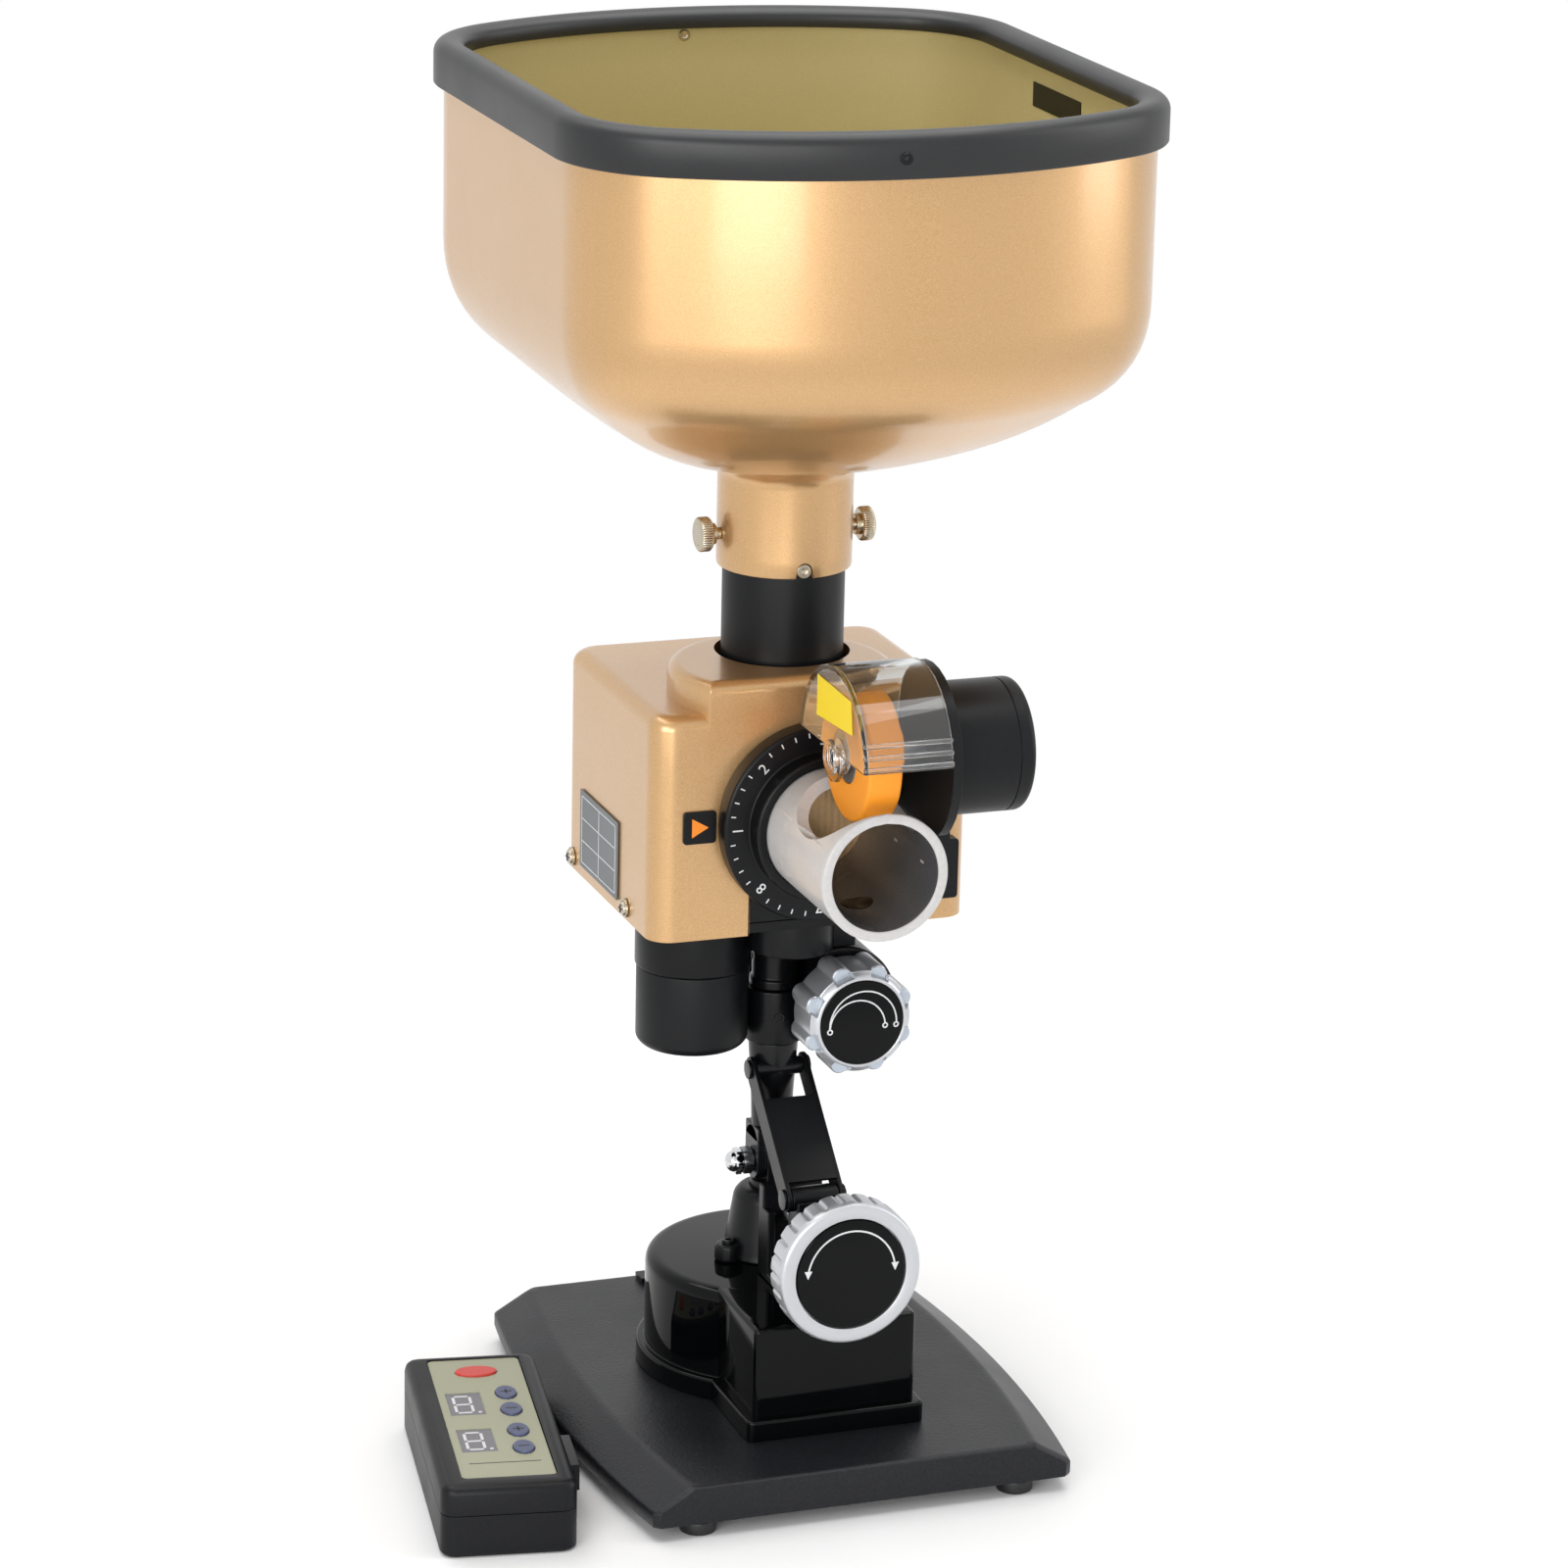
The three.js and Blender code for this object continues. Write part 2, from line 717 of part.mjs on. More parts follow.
function buildHinge() {
  const centre = [axisY, pivotHeight];
  const postTop = pivotHeight - hingeHalfDepth - runningGap;
  const post = join(
    rod('z', postRadius, coverLow, postTop, [0, axisY]),
    plate('x', hingeTab(postTop - overrun, 1), -tongueHalf, tongueHalf));
  piece('pivot_post', cut(post, rod('x', boltRadius + gap, -postRadius, postRadius, centre, smallFlats)),
    'satinBlack');

  const bootLow = coverTop + gap;
  const bore = postRadius + gap;
  const bootTop = bootLow + bootHeight;
  const shell = turned('z', [[bore, bootLow], [bootFootRadius, bootLow],
    [bootTopRadius, bootTop - bootEdge], [bootTopRadius - bootEdge, bootTop], [bore, bootTop],
    [bore, bootLow]], [0, axisY]);
  const lugs = [-1, 1].map((side) => rod('z', bootLugRadius, bootLow, bootLow + bootLugHeight,
    [side * bootLugOut, axisY - bootLugRadius], smallFlats));
  const clearance = rod('z', bore, bootLow - overrun, bootTop + overrun, [0, axisY]);
  piece('post_boot', cut(join(shell, ...lugs), clearance), 'satinBlack');

  const face = cheekHalf + gap;
  const acornLow = -face - hexNutHeight - gap;
  const acornDepth = acornLow - acornBoreDepth + gap;
  piece('pivot_bolt', join(
    rod('x', boltRadius, acornDepth, face + overrun, centre, smallFlats),
    plate('x', hexOutline(boltHeadAcross, centre), face, face + boltHeadHeight)), 'steel');
  piece('pivot_nut', cut(
    plate('x', hexOutline(boltHeadAcross, centre), -face - hexNutHeight, -face),
    rod('x', boltRadius + gap, -face - hexNutHeight - overrun, -face + overrun, centre, smallFlats)),
  'steel');
  const domeBase = acornLow - acornBaseHeight;
  const domeSide = Array.from({ length: filletSteps }, (_, i) => {
    const angle = (Math.PI / 2) * (i / filletSteps);
    return [acornDomeRadius * Math.cos(angle), domeBase - acornDomeHeight * Math.sin(angle)];
  });
  const dome = turned('x', [[0, domeBase + overrun], [acornDomeRadius, domeBase + overrun],
    ...domeSide, [0, domeBase - acornDomeHeight]], centre, smallFlats);
  piece('acorn_nut', cut(
    join(plate('x', hexOutline(boltHeadAcross, centre), domeBase, acornLow), dome),
    rod('x', boltRadius + gap, acornLow - acornBoreDepth, acornLow + overrun, centre, smallFlats)),
  'chrome');
}

// Neck that swings on the hinge

function buildNeck() {
  const centre = [axisY, pivotHeight];
  const shoulder = pivotHeight + forkShoulder;
  const waist = pivotHeight + neckWaistHeight;
  const cheeks = plate('x', hingeTab(shoulder, -1), -cheekHalf, cheekHalf);
  const slotTop = pivotHeight + slotShoulder;
  const slotHalf = tongueHalf + runningGap;
  const slot = block([-slotHalf, slotHalf],
    [axisY - hingeHalfDepth - overrun, axisY + hingeHalfDepth + overrun],
    [pivotHeight - hingeHalfDepth - overrun, slotTop]);
  const column = turned('z', [[0, shoulder - overrun], [postRadius, shoulder - overrun],
    [neckWaistRadius, waist], [neckTopRadius, neckTop], [stubRadius, neckTop],
    [stubRadius, neckTop + stubHeight], [0, neckTop + stubHeight]], [0, axisY]);
  const lugCentre = [upperPinY, upperPinHeight];
  const lugHalf = linkHalfInner - runningGap;
  const lug = rod('x', upperLugRadius, -lugHalf, lugHalf, lugCentre, smallFlats);
  const bores = [
    rod('x', boltRadius + gap, -cheekHalf - overrun, cheekHalf + overrun, centre, smallFlats),
    rod('x', upperPinRadius + gap, -lugHalf - overrun, lugHalf + overrun, lugCentre, smallFlats),
  ];
  piece('neck_fork', cut(join(cheeks, column, lug), slot, ...bores), 'satinBlack');

  piece('neck_collar', ring('z', stubRadius + gap, collarRadius, collarFoot, collarFoot + collarHeight,
    [0, axisY]), 'satinBlack');

  piece('link_pin_upper', headedPin(upperPinRadius, lugCentre), 'steel');
}

// A pin through the link with a flat head at each end.
function headedPin(radius, centre) {
  const reach = linkHalfInner + linkWall + gap;
  const headRadius = radius + pinHeadLip;
  const tip = reach + pinHeadHeight;
  return turned('x', [[0, -tip], [headRadius, -tip], [headRadius, -reach], [radius, -reach],
    [radius, reach], [headRadius, reach], [headRadius, tip], [0, tip]], centre, smallFlats);
}

// Elevation gear

function buildElevation() {
  const floorLow = coverTop + gap;
  const floorTop = floorLow + cradleFloor;
  const wallTop = screwHeight + wallRise;
  const sides = [-1, 1].map((side) => {
    const xs = [side * cheekInner, side * cradleHalfWidth].sort((a, b) => a - b);
    return block(xs, [cheekFrontY, cradleRearY], [floorLow, floorLow + cheekTop]);
  });
  const width = [-cradleHalfWidth, cradleHalfWidth];
  const cradle = join(
    block(width, [cradleFrontY, cradleRearY], [floorLow, floorTop]),
    block(width, [cradleFrontY, cradleFrontY + cradleWall], [floorLow, wallTop]),
    block(width, [cradleRearY - cradleWall, cradleRearY], [floorLow, wallTop]),
    ...sides);
  const centre = [0, screwHeight];
  piece('screw_cradle', cut(cradle,
    rod('y', screwRadius + gap, cradleFrontY - overrun, cradleRearY + overrun, centre, smallFlats)),
  'satinBlack');

  piece('lead_screw', rod('y', screwRadius, loopBackY - loopThickness / 2, screwRearY, centre, smallFlats),
    'steel');

  const nutRod = [nutY, trunnionHeight];
  const bossHalf = linkHalfInner - runningGap;
  const nutFront = nutY - nutHalfDepth;
  const nutRear = nutY + nutHalfDepth;
  const nut = join(
    block([-nutHalfWidth, nutHalfWidth], [nutFront, nutRear], [screwHeight - nutDrop, trunnionHeight]),
    rod('x', trunnionBoss, -bossHalf, bossHalf, nutRod, smallFlats));
  piece('nut_block', cut(nut,
    rod('y', screwRadius + gap, nutFront - overrun, nutRear + overrun, centre, smallFlats),
    rod('x', linkPinRadius + gap, -bossHalf - overrun, bossHalf + overrun, nutRod, smallFlats)),
  'satinBlack');
  piece('link_pin_lower', headedPin(linkPinRadius, nutRod), 'steel');
  piece('link', link(), 'blackPaint');

  const hubFrontY = cradleFrontY - runningGap;
  piece('loop_knob', loopKnob(hubFrontY), 'silver');
  const capBack = loopFaceY + loopCapSeat;
  piece('loop_knob_cap', turned('y', domeProfile(loopCapRadius, capBack, loopFaceY, loopCapDome),
    centre, plainFlats), 'glossBlack');
}

// A disc from back to face whose front swells by a shallow dome towards -Y.
function domeProfile(radius, back, face, dome) {
  const steps = chamferSteps * 2;
  const points = [[0, back], [radius, back], [radius, face]];
  for (let i = 1; i <= steps; i += 1) {
    const share = 1 - i / steps;
    points.push([radius * share, face - dome * (1 - share * share)]);
  }
  return points;
}

// A channel of two side plates and a front web between its two pins.
function link() {
  const low = [nutY, trunnionHeight];
  const high = [upperPinY, upperPinHeight];
  const length = Math.hypot(high[0] - low[0], high[1] - low[1]);
  const run = [(high[0] - low[0]) / length, (high[1] - low[1]) / length];
  const front = [-run[1], run[0]];
  const at = (share, out) => [
    low[0] + run[0] * length * share + front[0] * out,
    low[1] + run[1] * length * share + front[1] * out];
  const outer = linkHalfInner + linkWall;
  const parts = [];
  for (const side of [-1, 1]) {
    const xs = [side * linkHalfInner, side * outer].sort((a, b) => a - b);
    parts.push(plate('x', capsuleOutline(low, high, linkEyeRadius), ...xs));
  }
  const [from, to] = webShares;
  const webBack = linkEyeRadius - webThickness;
  const web = [at(from, linkEyeRadius), at(to, linkEyeRadius), at(to, webBack), at(from, webBack)];
  parts.push(plate('x', web, -linkHalfInner - overrun, linkHalfInner + overrun));
  return cut(join(...parts),
    rod('x', linkPinRadius + gap, -outer - overrun, outer + overrun, low, smallFlats),
    rod('x', upperPinRadius + upperPinPlay, -outer - overrun, outer + overrun, high, smallFlats));
}

// A knob with a smooth face ring and a fluted side.
function loopKnob(hubFrontY) {
  const centre = [0, screwHeight];
  const count = loopFlutes * pointsPerFlute;
  const smooth = (radius) => circleOutline(radius, centre, count);
  const fluted = (radius) => polarOutline((angle) => {
    const wave = Math.abs(Math.cos((loopFlutes * angle) / 2));
    return radius - loopFluteDepth * wave ** loopFlutePower;
  }, count, centre);
  const body = along('y', loft([
    { points: smooth(loopRadius - loopFluteDepth), height: loopFaceY },
    { points: smooth(loopRadius), height: loopFaceY + loopFluteDepth },
    { points: fluted(loopRadius), height: loopFaceY + loopRimHeight },
    { points: fluted(loopRadius - loopFluteDepth), height: loopBackY },
  ]));
  const hub = rod('y', loopHubRadius, loopBackY - overrun, hubFrontY, centre, plainFlats);
  const seat = rod('y', loopCapRadius + gap, loopFaceY - overrun, loopFaceY + loopCapSeat + gap,
    centre, plainFlats);
  const bore = rod('y', screwRadius + gap, loopBackY - loopThickness / 2 - gap, hubFrontY + overrun,
    centre, smallFlats);
  return cut(join(body, hub), seat, bore);
}

// Head: pan hub, base plate, sweep unit and its knob

function buildHeadBase(head) {
  const spigotLow = panShaftLow - panSpigotLength;
  const tongue = block([0, tongueRight], [sweepFrontY, sweepFrontY + sweepDepth], [hubLow, hubTop]);
  const shaft = turned('z', [[0, spigotLow], [panSpigotRadius, spigotLow],
    [panSpigotRadius, panShaftLow], [panShaftRadius, panShaftLow], [panShaftRadius, hubLow + overrun],
    [0, hubLow + overrun]], [0, axisY]);
  const disc = plate('z', capsuleOutline([0, axisY - hubReach], [0, axisY], hubRadius), hubLow, hubTop);
  const recess = rod('z', gearboxRadius + gap, hubLow - overrun, hubTop + overrun, [starX, axisY]);
  piece('pan_hub', cut(join(disc, tongue, shaft), recess), 'satinBlack', head);

  const inner = headWall + runningGap;
  const plateHalfX = coverHalf - inner;
  const plateHalfY = (headRearY - headFrontY) / 2 - inner;
  const middle = [0, (headRearY + headFrontY) / 2];
  const corner = headCorner - headWall;
  const floor = plate('z', roundedRectangle(plateHalfX, plateHalfY, corner, middle),
    headBottom, headBottom + headPlateThickness);
  piece('head_plate', cut(floor, rod('z', starShaftRadius + runningGap, headBottom - overrun,
    headBottom + headPlateThickness + overrun, [starX, axisY], smallFlats)), 'satinBlack', head);

  const angleCentre = [angleX, angleHeight];
  piece('sweep_gearbox', sweepCase(angleCentre), 'satinBlack', head);

  const back = angleFaceY + angleThickness;
  piece('angle_shaft', rod('y', angleShaftRadius, back - angleThickness / 2,
    sweepFrontY + angleShaftBite, angleCentre, smallFlats), 'steel', head);
  piece('angle_knob', angleKnob(back), 'silver', head);
  piece('angle_knob_cap', turned('y',
    domeProfile(angleCapRadius, angleFaceY + loopCapSeat, angleFaceY, angleCapDome), angleCentre,
    plainFlats), 'glossBlack', head);
}

// A drum flattened beside the neck, with a bridge that runs behind the neck.
function sweepCase(centre) {
  const top = hubLow - gap;
  const rearY = sweepFrontY + sweepDepth;
  const radius = top - angleHeight;
  const drum = turned('y', [[0, sweepFrontY], [radius - sweepEdge, sweepFrontY],
    [radius, sweepFrontY + sweepEdge], [radius, rearY - sweepEdge], [radius - sweepEdge, rearY],
    [0, rearY]], centre, fineFlats);
  const beside = block([angleX - radius - overrun, sweepLeft], [sweepFrontY - overrun, rearY + overrun],
    [angleHeight - radius - overrun, top + overrun]);
  const bridge = block([bridgeLeft, angleX], [rearY - bridgeDepth, rearY - sweepEdge],
    [top - bridgeDrop, top]);
  const bore = rod('y', angleShaftRadius + gap, sweepFrontY - overrun,
    sweepFrontY + angleShaftBite + gap, centre, smallFlats);
  return cut(join(cut(drum, beside), bridge), bore);
}

// A round knob gripped by rounded lobes.
function angleKnob(back) {
  const centre = [angleX, angleHeight];
  const lobeFace = angleFaceY + loopRimHeight;
  const body = turned('y', [[0, back], [angleRadius - loopFluteDepth, back],
    [angleRadius, back - loopFluteDepth], [angleRadius, lobeFace],
    [angleRadius - loopFluteDepth, angleFaceY], [0, angleFaceY]], centre, fineFlats);
  const lobes = Array.from({ length: angleLobes }, (_, i) => {
    const angle = (2 * Math.PI * (i + 1 / 2)) / angleLobes;
    const spot = [angleX + angleLobeOut * Math.cos(angle), angleHeight + angleLobeOut * Math.sin(angle)];
    return rod('y', angleLobeRadius, lobeFace, back - loopFluteDepth, spot, tinyFlats);
  });
  return cut(join(body, ...lobes),
    rod('y', angleCapRadius + gap, angleFaceY - overrun, angleFaceY + loopCapSeat + gap, centre, plainFlats),
    rod('y', angleShaftRadius + gap, back - angleThickness / 2 - gap, back + overrun, centre, smallFlats));
}

// Head cover and what is on it

// A circle cut flat at the front, with its corner points where the cut starts.
function crownOutline(inset, front) {
  const radius = crownRadius - inset;
  const reach = Math.asin(Math.min(1, (crownY - front) / radius));
  const count = plainFlats;
  return Array.from({ length: count + 1 }, (_, i) => {
    const angle = -reach + ((Math.PI + 2 * reach) * i) / count;
    return [crownX + radius * Math.cos(angle), crownY + radius * Math.sin(angle)];
  });
}

function headCover() {
  const middle = [0, (headRearY + headFrontY) / 2];
  const halfY = (headRearY - headFrontY) / 2;
  const shell = (wall, low, high, edge, steps) => softSlab((inset) => roundedRectangle(
    coverHalf - wall - inset, halfY - wall - inset, headCorner - wall / 2 - inset / 2, middle),
  low, high, edge, 0, steps);
  const crown = (wall, low, high, edge, steps) => softSlab(
    (inset) => crownOutline(wall + inset, headFrontY + wall + inset), low, high, edge, 0, steps);
  const crownFoot = shoulderHeight - headEdge - overrun;
  const outside = join(
    shell(0, headBottom, shoulderHeight, headEdge, filletSteps),
    crown(0, crownFoot, crownHeight, crownEdge, filletSteps));
  const inside = join(
    shell(headWall, headBottom - overrun, shoulderHeight - headWall, headEdge - headWall, chamferSteps),
    crown(headWall, crownFoot, crownHeight - headWall, crownEdge - headWall, chamferSteps));
  const tubeHole = rod('z', topHoleRadius, shoulderHeight, crownHeight + overrun, [0, axisY], plainFlats);
  const muzzleHole = rod('y', frontHoleRadius, headFrontY - overrun, headFrontY + headWall + overrun,
    [0, muzzleHeight], plainFlats);
  const notch = block([notchLeft, notchRight], [headFrontY - overrun, headFrontY + headWall + overrun],
    [headBottom - overrun, muzzleHeight - notchDrop]);
  return cut(outside, inside, tubeHole, muzzleHole, notch);
}

function buildHeadCover(head) {
  piece('head_cover', headCover(), 'goldPaint', head);
  const pointerFace = headFrontY - gap;
  const pointerPlan = roundedRectangle(pointerWidth / 2, pointerHeight / 2, endChamfer,
    [pointerX, muzzleHeight]);
  piece('pointer_plate', plate('y', pointerPlan, pointerFace - pointerThickness, pointerFace),
    'satinBlack', head);
  const side = -coverHalf - gap;
  const plateLow = headBottom + plateRise;
  piece('rating_plate', block([side - plateThin, side], [plateFrontY, plateFrontY + plateLength],
    [plateLow, plateLow + plateHeight]), 'labelGrey', head);
  for (const [name, y] of Object.entries({ front: coverScrewFrontY, rear: coverScrewRearY })) {
    const screw = turned('x', [[0, side], [coverScrewRadius, side],
      [coverScrewRadius, side - coverScrewHead / 2], [coverScrewRadius / 2, side - coverScrewHead],
      [0, side - coverScrewHead]], [y, headBottom + coverScrewRise], smallFlats);
    piece(`cover_screw_${name}`, screw, 'nickel', head);
  }
}

// Feeding parts inside and under the head

function feedBlock() {
  const left = -coverHalf + headWall + gap;
  const front = headFrontY + headWall + gap;
  const low = headBottom + headPlateThickness + gap;
  const plan = roundedRectangle((blockRight - left) / 2, (blockRearY - front) / 2, headCorner - headWall / 2,
    [(blockRight + left) / 2, (blockRearY + front) / 2]);
  const whole = plate('z', plan, low, blockTop);
  const floor = muzzleHeight - passageRadius;
  const well = rod('z', passageRadius, floor, blockTop + overrun, [0, axisY], plainFlats);
  const bore = rod('y', passageRadius, front - overrun, axisY, [0, muzzleHeight], plainFlats);
  const pocketLow = muzzleHeight - pocketSpace / 2;
  const pocket = rod('z', pocketRadius, pocketLow, pocketLow + pocketSpace, [starX, axisY], plainFlats);
  const shaftHole = rod('z', starShaftRadius + runningGap, low - overrun, pocketLow + overrun,
    [starX, axisY], smallFlats);
  return cut(whole, well, bore, pocket, shaftHole);
}

function buildFeed(head) {
  piece('feed_block', feedBlock(), 'satinBlack', head);
  const starLow = muzzleHeight - starHeight / 2;
  const star = plate('z', polarOutline((angle) => {
    const swell = ((1 - Math.cos(starArms * angle)) / 2) ** starArmPower;
    return starHub + (starRadius - starHub) * swell;
  }, starArms * pointsPerArm, [starX, axisY]), starLow, starLow + starHeight);
  piece('star_wheel', cut(star, rod('z', starShaftRadius + gap, starLow - overrun,
    starLow + starHeight + overrun, [starX, axisY], smallFlats)), 'orange', head);
  const gearboxTop = headBottom - gap;
  piece('star_shaft', rod('z', starShaftRadius, gearboxTop + gap, starLow + starHeight,
    [starX, axisY], smallFlats), 'steel', head);
  const gearboxLow = gearboxTop - gearboxHeight;
  piece('feed_gearbox', rod('z', gearboxRadius, gearboxLow, gearboxTop, [starX, axisY]), 'satinBlack', head);
  const motorTop = gearboxLow - gap;
  const motorLow = motorTop - feedMotorHeight;
  const can = turned('z', [[0, motorLow], [feedMotorRadius - motorEdge, motorLow],
    [feedMotorRadius, motorLow + motorEdge], [feedMotorRadius, motorTop], [0, motorTop]], [starX, axisY]);
  const vents = Array.from({ length: ventCount }, (_, i) => {
    const angle = (2 * Math.PI * i) / ventCount;
    const radius = feedMotorRadius / 2;
    return rod('z', ventWidth, motorLow - overrun, motorLow + ventDepth,
      [starX + radius * Math.cos(angle), axisY + radius * Math.sin(angle)], tinyFlats);
  });
  piece('feed_motor', cut(can, ...vents), 'satinBlack', head);
  piece('feed_tube', ring('z', passageRadius, tubeRadius, blockTop + gap, tubeTop, [0, axisY]),
    'satinBlack', head);
}

// Hopper

// The hopper's plan: straight sides, a corner arc, then a wide arc to the middle
// of the end. One quarter is drawn, and each next one mirrors the one before.
function hopperPlan(inset) {
  const halfX = rimHalfX - inset;
  const halfY = rimHalfY - inset;
  const bulge = rimBulgeRadius - inset;
  const corner = Math.max(rimCornerRadius - inset, gap);
  const bulgeMid = halfY - bulge;
  const cornerX = halfX - corner;
  const cornerY = bulgeMid + Math.sqrt((bulge - corner) ** 2 - cornerX ** 2);
  const meet = Math.atan2(cornerY - bulgeMid, cornerX);
  const steps = (count, from, to) =>
    Array.from({ length: count }, (_, i) => from + ((to - from) * i) / count);
  const quarter = [
    ...steps(sideSteps, 0, cornerY).map((y) => [halfX, y]),
    ...steps(cornerSteps, 0, meet).map((angle) =>
      [cornerX + corner * Math.cos(angle), cornerY + corner * Math.sin(angle)]),
    ...steps(bulgeSteps, meet, Math.PI / 2).map((angle) =>
      [bulge * Math.cos(angle), bulgeMid + bulge * Math.sin(angle)]),
    [0, halfY],
  ];
  const half = [...quarter, ...quarter.slice(0, -1).reverse().map(([x, y]) => [-x, y])];
  const whole = [...half, ...half.slice(1, -1).reverse().map(([x, y]) => [x, -y])];
  return whole.map(([x, y]) => [x, y + axisY]);
}

// Blends the plan, inset by a wall, into the collar's circle.
function bowlLayer(share, inset, radius, height) {
  const points = hopperPlan(inset).map(([x, y]) => {
    const reach = Math.hypot(x, y - axisY);
    const size = share + (1 - share) * (radius / reach);
    return [x * size, axisY + (y - axisY) * size];
  });
  return { points, height };
}

// The bowl's section as shares of its reach against height, collar first.
function bowlSection() {
  const bend = (from, middle, to, steps) => {
    const curve = new THREE.QuadraticBezierCurve(
      new THREE.Vector2(...from), new THREE.Vector2(...middle), new THREE.Vector2(...to));
    return curve.getPoints(steps).map((p) => [p.x, hopperLow + p.y]);
  };
  const neck = [neckShare, neckRise];
  const turn = [turnShare, turnRise];
  const flare = bend([0, flareRise], [0, neckRise - hopperWall], neck, flareSteps);
  const slope = bend(neck, [slopeShare, slopeRise], turn, flareSteps);
  const knee = bend(turn, [1, kneeRise], [1, wallFootRise], filletSteps);
  return [...flare, ...slope.slice(1), ...knee.slice(1)];
}

function hopper() {
  const outerInset = rimOverhang;
  const innerInset = rimOverhang + hopperWall;
  const section = bowlSection();
  const top = hopperTop - rimBand - gap;
  const bore = tubeRadius + collarPlay;
  const throat = passageRadius + collarPlay;
  const outside = [
    bowlLayer(0, outerInset, hopperCollarRadius - collarPlay, hopperLow),
    bowlLayer(0, outerInset, hopperCollarRadius, hopperLow + endChamfer),
    ...section.map(([share, height]) => bowlLayer(share, outerInset, hopperCollarRadius, height)),
    bowlLayer(1, outerInset, hopperCollarRadius, top),
  ];
  const lift = (share) => hopperWall * (1 - share * share);
  const inside = [
    bowlLayer(1, innerInset, throat, top),
    ...section.slice(flareSteps).reverse().map(([share, height]) =>
      bowlLayer(share, innerInset, throat, height + lift(share))),
    bowlLayer(0, innerInset, throat, throatHeight),
    bowlLayer(0, innerInset, bore, throatHeight),
    bowlLayer(0, innerInset, bore, hopperLow),
  ];
  const shell = wrap([...outside, ...inside]);
  const screwHole = rod('x', thumbStemRadius + gap, -hopperCollarRadius - overrun,
    hopperCollarRadius + overrun, [axisY, hopperLow + thumbRise], smallFlats);
  const notch = capsuleOutline([frontNotchX, hopperLow - frontNotchRadius],
    [frontNotchX, hopperLow + frontNotchDepth], frontNotchRadius);
  return cut(shell, screwHole, plate('y', notch, axisY - hopperCollarRadius - overrun, axisY - tubeRadius));
}

function hopperRim() {
  const under = hopperTop - rimHeight;
  const slotOuter = rimOverhang - gap;
  const slotInner = rimOverhang + hopperWall + gap;
  const slotTop = hopperTop - rimBand;
  const crest = (rimOverhang + hopperWall + rimBand) / 2;
  const quarterArch = (from, sign, radius) => Array.from({ length: filletSteps + 1 }, (_, i) => {
    const angle = (Math.PI / 2) * (i / filletSteps);
    return [from - sign * radius * Math.sin(angle), hopperTop - radius * (1 - Math.cos(angle))];
  });
  const outline = [
    [0, under],
    ...quarterArch(crest, 1, crest).reverse(),
    ...quarterArch(rimInnerWidth - rimBand, -1, rimBand),
    [rimInnerWidth, hopperTop - rimInnerDrop],
    [slotInner, hopperTop - rimInnerDrop],
    [slotInner, slotTop],
    [slotOuter, slotTop],
    [slotOuter, under],
  ];
  return wrap(outline.map(([inset, height]) => ({ points: hopperPlan(inset), height })));
}

function buildHopper(head) {
  piece('hopper', hopper(), 'goldPaint', head);
  piece('hopper_rim', hopperRim(), 'rubber', head);
  for (const [name, side] of Object.entries({ left: -1, right: 1 })) {
    const tip = tubeRadius + gap;
    const stemEnd = tip + thumbStemLength;
    const shoulderEnd = stemEnd + thumbShoulderLength;
    const headEnd = shoulderEnd + thumbHeadLength;
    const spot = [axisY, hopperLow + thumbRise];
    const ridged = polarOutline((angle) => thumbHeadRadius
      - thumbRidgeDepth * Math.abs(Math.sin((thumbRidges * angle) / 2)), thumbRidges * 2, spot);
    const span = (from, to) => [side * from, side * to].sort((a, b) => a - b);
    piece(`thumb_screw_${name}`, join(
      rod('x', thumbStemRadius, ...span(tip, stemEnd + overrun), spot, smallFlats),
      rod('x', thumbShoulderRadius, ...span(stemEnd, shoulderEnd + overrun), spot, smallFlats),
      plate('x', ridged, ...span(shoulderEnd, headEnd))), 'nickel', head);
  }
}

// Shooter

function motorBracket() {
  const back = dialFaceY - gap;
  const front = back - flangeThickness;
  const hubClear = dialHubRadius + gap;
  const flangeLow = muzzleHeight - flangeDrop;
  const flangeHigh = muzzleHeight + flangeRise;
  const flangeFootTop = muzzleHeight - flangeFootDrop;
  const webLow = muzzleHeight + bracketWebRise;
  const flange = join(
    plate('y', [[bracketX, flangeLow], [flangeRight, flangeLow], [flangeRight, flangeHigh],
      [bracketX, flangeHigh]], front, back),
    plate('y', roundedRectangle((flangeFootRight - bracketX) / 2, (flangeFootTop - flangeLow) / 2,
      endChamfer, [(flangeFootRight + bracketX) / 2, (flangeFootTop + flangeLow) / 2]), front, back));
  const hubHole = rod('y', hubClear, dialFaceY - dialHubReach - gap, back + overrun,
    [0, muzzleHeight], fineFlats);
  const webEnd = bracketX + bracketThickness;
  const disc = rod('x', bracketRadius, bracketX, webEnd, [wheelY, wheelHeight], fineFlats);
  const reach = [wheelY - bracketRadius - overrun, front + overrun];
  const neck = block([bracketX, webEnd], [wheelY, front + overrun], [webLow, flangeHigh]);
  const web = common(join(disc, neck),
    block([bracketX - overrun, webEnd + overrun], reach, [webLow, wheelHeight + bracketRadius + overrun]));
  const axleHole = rod('x', axleRadius + runningGap, bracketX - overrun,
    bracketX + bracketThickness + overrun, [wheelY, wheelHeight], smallFlats);
  return cut(join(flange, web), hubHole, axleHole);
}

